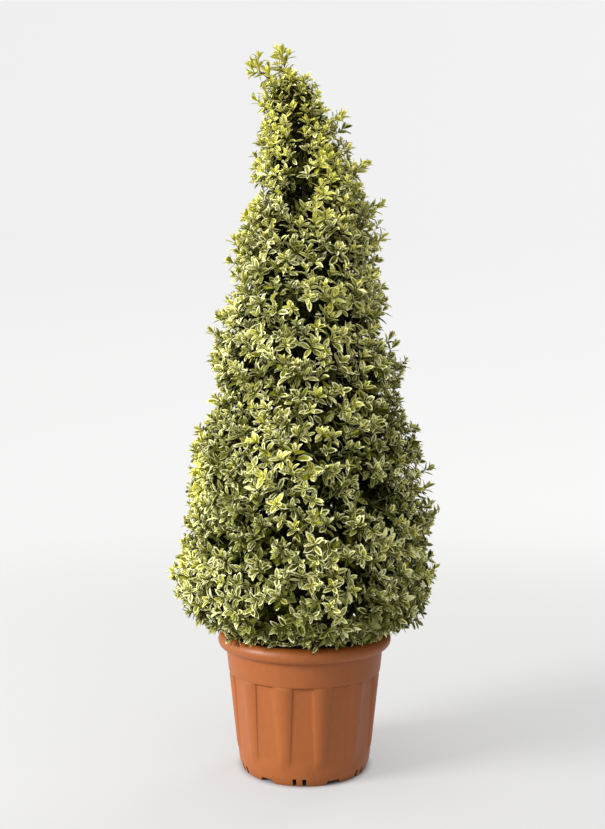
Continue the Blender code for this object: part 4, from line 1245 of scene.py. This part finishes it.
def make_pot(finish):
    pot = surface_piece("pot_moulded", [capped(pot_grid())], finish)
    mesh = pot.data
    bm = bmesh.new()
    bm.from_mesh(mesh)
    bmesh.ops.remove_doubles(bm, verts=bm.verts, dist=1e-6)
    bmesh.ops.recalc_face_normals(bm, faces=bm.faces)
    bm.to_mesh(mesh)
    bm.free()
    drains = bpy.data.collections.new("drains")
    bpy.context.scene.collection.children.link(drains)
    for i in range(DRAIN_COUNT):
        turn = DRAIN_TURN + math.tau * i / DRAIN_COUNT
        for side in (-1, 1):
            place = turn + side * SLOT_SPACING / 2 / SKIRT_FOOT[0]
            drains.objects.link(cutter(place, SLOT_WIDTH, SLOT_WIDTH, SLOT_HEIGHT))
        place = turn + math.pi / DRAIN_COUNT
        drains.objects.link(cutter(place, NOTCH_WIDTH, NOTCH_TOP_WIDTH, NOTCH_HEIGHT))
    cut = pot.modifiers.new("Drains", "BOOLEAN")
    cut.operation = "DIFFERENCE"
    cut.operand_type = "COLLECTION"
    cut.collection = drains
    cut.solver = "MANIFOLD"
    graph = bpy.context.evaluated_depsgraph_get()
    pot.data = bpy.data.meshes.new_from_object(pot.evaluated_get(graph))
    pot.modifiers.clear()
    pot.data.shade_smooth()
    pot.data.set_sharp_from_angle(angle=math.radians(38))
    for obj in list(drains.objects):
        bpy.data.objects.remove(obj)
    bpy.data.collections.remove(drains)
    return pot


def make_compost(finish):
    """A lumpy disc: height falls with the square of the radius, plus three sets of waves."""
    rows, columns = 40, 120
    radius = np.linspace(0, 1, rows) * COMPOST_RADIUS
    angle = np.arange(columns) * math.tau / columns
    r, a = np.meshgrid(radius, angle, indexing="ij")
    x, y = r * np.cos(a), r * np.sin(a)
    lumps = np.sin(410 * x + 130 * y) * np.sin(380 * y - 90 * x)
    lumps = lumps + 0.6 * np.sin(900 * x - 400 * y + 1) * np.sin(760 * y + 500 * x)
    lumps = lumps + 0.5 * np.sin(150 * x + 2) * np.sin(170 * y)
    height = COMPOST_HEIGHT - COMPOST_FALL * (r / radius[-1]) ** 2 + 0.0011 * lumps
    top = stacked(x, y, height)[::-1]
    low = stacked(x[-1] * 0.88, y[-1] * 0.88, COMPOST_UNDERSIDE)
    pole = stacked(x[0] * 0, y[0] * 0, COMPOST_UNDERSIDE)
    grid = np.concatenate((pole[None], low[None], top))
    return surface_piece("compost_surface", [capped(grid)], finish)


# ---- Patterned materials --------------------------------------------------------------


def mottle_group():
    """Two colours mixed by noise at a coarse and a fine scale, with a height for a bump."""
    group = bpy.data.node_groups.new("Mottle", "ShaderNodeTree")
    given = {"First": "Color", "Second": "Color"}
    given |= dict.fromkeys(("Coarse", "Fine", "Contrast", "Stretch"), "Float")
    sides = (("INPUT", given), ("OUTPUT", {"Colour": "Color", "Height": "Float"}))
    for side, sockets in sides:
        for name, kind in sockets.items():
            group.interface.new_socket(name=name, in_out=side, socket_type=f"NodeSocket{kind}")
    given = group.nodes.new("NodeGroupInput").outputs
    place = add_node(group, "TexCoord", {}).outputs["Object"]
    stretch = add_node(group, "CombineXYZ", {"X": 1.0, "Y": 1.0, "Z": given["Stretch"]})
    stretched = {0: place, 1: stretch.outputs[0]}
    place = add_node(group, "VectorMath", stretched, operation="MULTIPLY").outputs[0]
    noise = []
    for name, detail in (("Coarse", 5.0), ("Fine", 2.0)):
        values = {"Vector": place, "Scale": given[name], "Detail": detail}
        noise.append(add_node(group, "TexNoise", values).outputs["Fac"])
    both = add_node(group, "Math", dict(enumerate(noise)), operation="ADD").outputs[0]
    centred = add_node(group, "Math", {0: both, 1: 1.0}, operation="SUBTRACT").outputs[0]
    values = {0: centred, 1: given["Contrast"], 2: 0.5}
    share = add_node(group, "Math", values, operation="MULTIPLY_ADD", use_clamp=True).outputs[0]
    values = {"Factor": share, "A": given["First"], "B": given["Second"]}
    mix = add_node(group, "Mix", values, data_type="RGBA").outputs["Result"]
    feed(group, group.nodes.new("NodeGroupOutput"), {"Colour": mix, "Height": both})
    return group


def mottled(name, group, values, roughness, bump):
    """A Principled material with the mottle on its colour and its bump."""
    made = principled(name, {"Roughness": roughness, "Specular IOR Level": PLASTIC_SHINE})
    tree = made.node_tree
    effect = add_node(tree, "Group", {}, node_tree=group)
    feed(tree, effect, values)
    values = {"Strength": 0.6, "Distance": bump, "Height": effect.outputs["Height"]}
    relief = add_node(tree, "Bump", values).outputs["Normal"]
    values = {"Base Color": effect.outputs["Colour"], "Normal": relief}
    feed(tree, tree.nodes["Principled BSDF"], values)
    return made


# ---- Putting the plant together -------------------------------------------------------

mottle = mottle_group()
plastic = mottled("terracotta plastic", mottle, PLASTIC, 0.46, 0.00012)
soil = mottled("moist compost", mottle, SOIL, 0.92, 0.0012)
bark = mottled("grey brown bark", mottle, BARK, 0.85, 0.0007)
blade_finishes = [plain(*shade) for shade in GREENS + SAGES + MARGINS]
shade_finishes = [plain(*shade) for shade in SHADED_GREENS]
young_twig = plain("young twig", *YOUNG_TWIG)


def finish_piece(piece, slot, *nodes):
    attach(piece, "root")
    if nodes:
        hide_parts(*nodes)


finish_piece(make_pot(plastic), "terracotta_plastic", "pot")
finish_piece(make_compost(soil), "compost", "compost")

spaces = []
for tier, (level, count, first, slot) in enumerate(TIERS):
    for i in range(count):
        facing = math.radians(first + 360 * i / count)
        spaces.append(Space(f"foliage_{level}_{i + 1}", tier, count, facing, slot))
spaces.append(Space("foliage_leader", len(TIERS), 1, 0.0, "young_leaf"))

woody = [trunk_surface()]
for number, space in enumerate(spaces):
    rng = np.random.default_rng([SEED, number])
    if space.is_leader:
        limbs = limbs_of_leader(space)
        stem = (trunk_points(TRUNK_TOP - 0.006), leader_heart())
    else:
        limbs = limbs_beside_trunk(space)
        stem = stem_of(space)
    woody += bough_tubes(limbs, stem)

    outer = layer_shoots(space, limbs, OUTER_LAYER, rng)
    outer = outer.pick(~bare(outer.ends, rng))
    loose = strays(space, limbs, rng)
    under = layer_shoots(space, limbs, UNDER_LAYER, rng)
    under = under.pick(~bare(under.ends, rng))
    inner = [layer_shoots(space, limbs, layer, rng) for layer in (INNER_LAYER, HEART_LAYER)]
    inner = Shoots.joined(inner)
    # The under and inner layers take darker shades, as painted shade inside the crown.
    if not space.is_leader:
        under.youth = np.clip(under.youth - UNDER_PAINTED_SHADE, 0, 1)
        inner.youth = np.clip(inner.youth - INNER_PAINTED_SHADE, 0, 1)
    shoots = [outer, under, loose]
    leaves = [leaves_on(outer, LEAF_PAIRS, rng), leaves_on(under, UNDER_PAIRS, rng)]
    leaves.append(leaves_on(loose, LOOSE_PAIRS, rng))
    if space.tier == 0:
        shoots.append(fringe_shoots(space, limbs, rng))
        leaves.append(leaves_on(shoots[-1], LEAF_PAIRS, rng))
    if space.is_leader:
        forks, turns, tips = leader_shoots()
        own = np.ones(len(tips))
        own = Shoots(forks, turns, tips, own * OWN_SIZE, own * OWN_YOUTH)
        woody.append(tubes(forks, turns, tips, *OWN_RADII, 6, 5))
        leaves.append(leaves_on(own, LOOSE_PAIRS, rng))
        sides = side_shoots(forks, tips, rng)
        leaves.append(leaves_on(sides, LEAF_PAIRS, rng))
        shoots += [own, sides]
    leaves = Leaves.joined(leaves)
    leaves = leaves.pick(clear_of_pot(leaves) & inside_box(leaves))
    piece = leaf_piece(f"{space.name}_leaves", leaves, blade_finishes, rng)
    finish_piece(piece, space.slot, space.name)

    leaves = leaves_on(inner, INNER_PAIRS, rng)
    leaves = leaves.pick(clear_of_pot(leaves))
    piece = shade_leaf_piece(f"{space.name}_shade_leaves", leaves, shade_finishes, rng)
    finish_piece(piece, space.slot)

    twigs = Shoots.joined(shoots + [inner])
    twigs = tubes(twigs.starts, twigs.turns, twigs.ends, SHOOT_RADIUS, SHOOT_TIP_RADIUS, 4, 4)
    finish_piece(surface_piece(f"{space.name}_twigs", [twigs], young_twig), "bark")

finish_piece(surface_piece("trunk_and_boughs", woody, bark), "bark", "trunk")


# ---- Floor, backdrop, light and camera ------------------------------------------------


def studio_sheet(name, profile, finish):
    """A surface of revolution from (radius, height) points."""
    sides = 96
    angle = np.arange(sides) * math.tau / sides
    r, a = np.meshgrid(profile[:, 0], angle, indexing="ij")
    points = stacked(r * np.cos(a), r * np.sin(a), profile[:, 1:]).reshape(-1, 3)
    sheet = new_piece(name, points, [(grid_faces(len(profile), sides), 0)], [finish])
    sheet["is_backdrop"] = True
    return sheet


def studio_paper():
    """Pale paper that glows as painted light: from just past the pot's foot, lifting the plant's
    shadow but leaving a narrow painted shadow round the foot, and more again further out, as if lit
    from beyond.
    """
    made = plain("studio paper", (0.5, 0.5, 0.5), 0.9)
    tree = made.node_tree
    place = add_node(tree, "TexCoord", {}).outputs["Object"]
    away = add_node(tree, "VectorMath", {0: place}, operation="LENGTH").outputs["Value"]
    glows = []
    for (low, high), glow in ((PAPER_NEAR, NEAR_PAINTED_LIGHT), (PAPER_FAR, FAR_GLOW)):
        values = {"Value": away, "From Min": low, "From Max": high, "To Max": glow}
        ramp = add_node(tree, "MapRange", values, interpolation_type="SMOOTHSTEP")
        glows.append(ramp.outputs["Result"])
    glow = add_node(tree, "Math", dict(enumerate(glows)), operation="ADD").outputs["Value"]
    near, far = PAPER_SHADES
    values = {"Value": glows[1], "From Max": FAR_GLOW, "To Min": near, "To Max": far}
    tint = add_node(tree, "MapRange", values).outputs["Result"]
    white = (1.0, 1.0, 1.0, 1.0)
    values = {"Base Color": tint, "Emission Strength": glow, "Emission Color": white}
    values |= {"Specular IOR Level": 0.1, "Specular Tint": white}
    feed(tree, tree.nodes["Principled BSDF"], values)
    return made


def light_world(world):
    """A room that is bright above and to the left, and falls off smoothly to the right."""
    tree = world.node_tree
    place = add_node(tree, "TexCoord", {}).outputs["Generated"]
    values = {0: place, 1: ROOM_BRIGHT_SIDE}
    towards = add_node(tree, "VectorMath", values, operation="DOT_PRODUCT").outputs["Value"]
    values = dict(zip(("From Min", "From Max", "To Min", "To Max"), ROOM_GLOW))
    values["Value"] = towards
    ramp = add_node(tree, "MapRange", values, interpolation_type="SMOOTHSTEP")
    values = {"Color": ROOM_COLOUR, "Strength": ramp.outputs["Result"]}
    feed(tree, tree.nodes["Background"], values)


def softbox(name, place, aim, size, power):
    lamp = bpy.data.lights.new(name, "AREA")
    lamp.shape = "SQUARE"
    lamp.size = size
    lamp.energy = power
    obj = bpy.data.objects.new(name, lamp)
    obj.location = place
    direction = np.array(aim) - np.array(place)
    flat = math.hypot(direction[0], direction[1])
    obj.rotation_euler = (
        math.pi / 2 - math.atan2(-direction[2], flat),
        0.0,
        math.atan2(direction[1], direction[0]) - math.pi / 2,
    )
    scene.collection.objects.link(obj)
    return obj


scene = bpy.context.scene
scene.view_settings.view_transform = "Standard"
paper = studio_paper()
studio_sheet("floor", np.array(((0.0, 0.0), (0.6, 0.0), (FLOOR_EDGE, 0.0))), paper)
sweep = np.concatenate(([(FLOOR_EDGE, 0.0)], arc((3.2, 1.8), (1.8, 1.8), -90, 0, 24)))
sweep = np.concatenate((sweep, [(5.0, 6.0)]))
backdrop = studio_sheet("backdrop", sweep, paper)
backdrop.visible_diffuse = False
backdrop.visible_glossy = False
backdrop.visible_shadow = False

world = bpy.data.worlds.new("soft studio")
world.use_nodes = True
scene.world = world
light_world(world)
softbox("key", KEY_PLACE, (0.0, 0.0, 0.5), KEY_SIZE, KEY_POWER)
fill = softbox("fill", FILL_PLACE, (0.0, 0.0, 0.7), FILL_SIZE, FILL_POWER)
fill.data.color = FILL_COLOUR
fill.visible_glossy = False

lens = bpy.data.cameras.new("camera")
lens.lens = CAMERA_LENS
lens.sensor_width = 36.0
camera = bpy.data.objects.new("camera", lens)
camera.location = CAMERA_PLACE
camera.rotation_euler = (math.pi / 2, 0.0, 0.0)
scene.collection.objects.link(camera)
scene.camera = camera

[list(corner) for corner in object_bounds()]
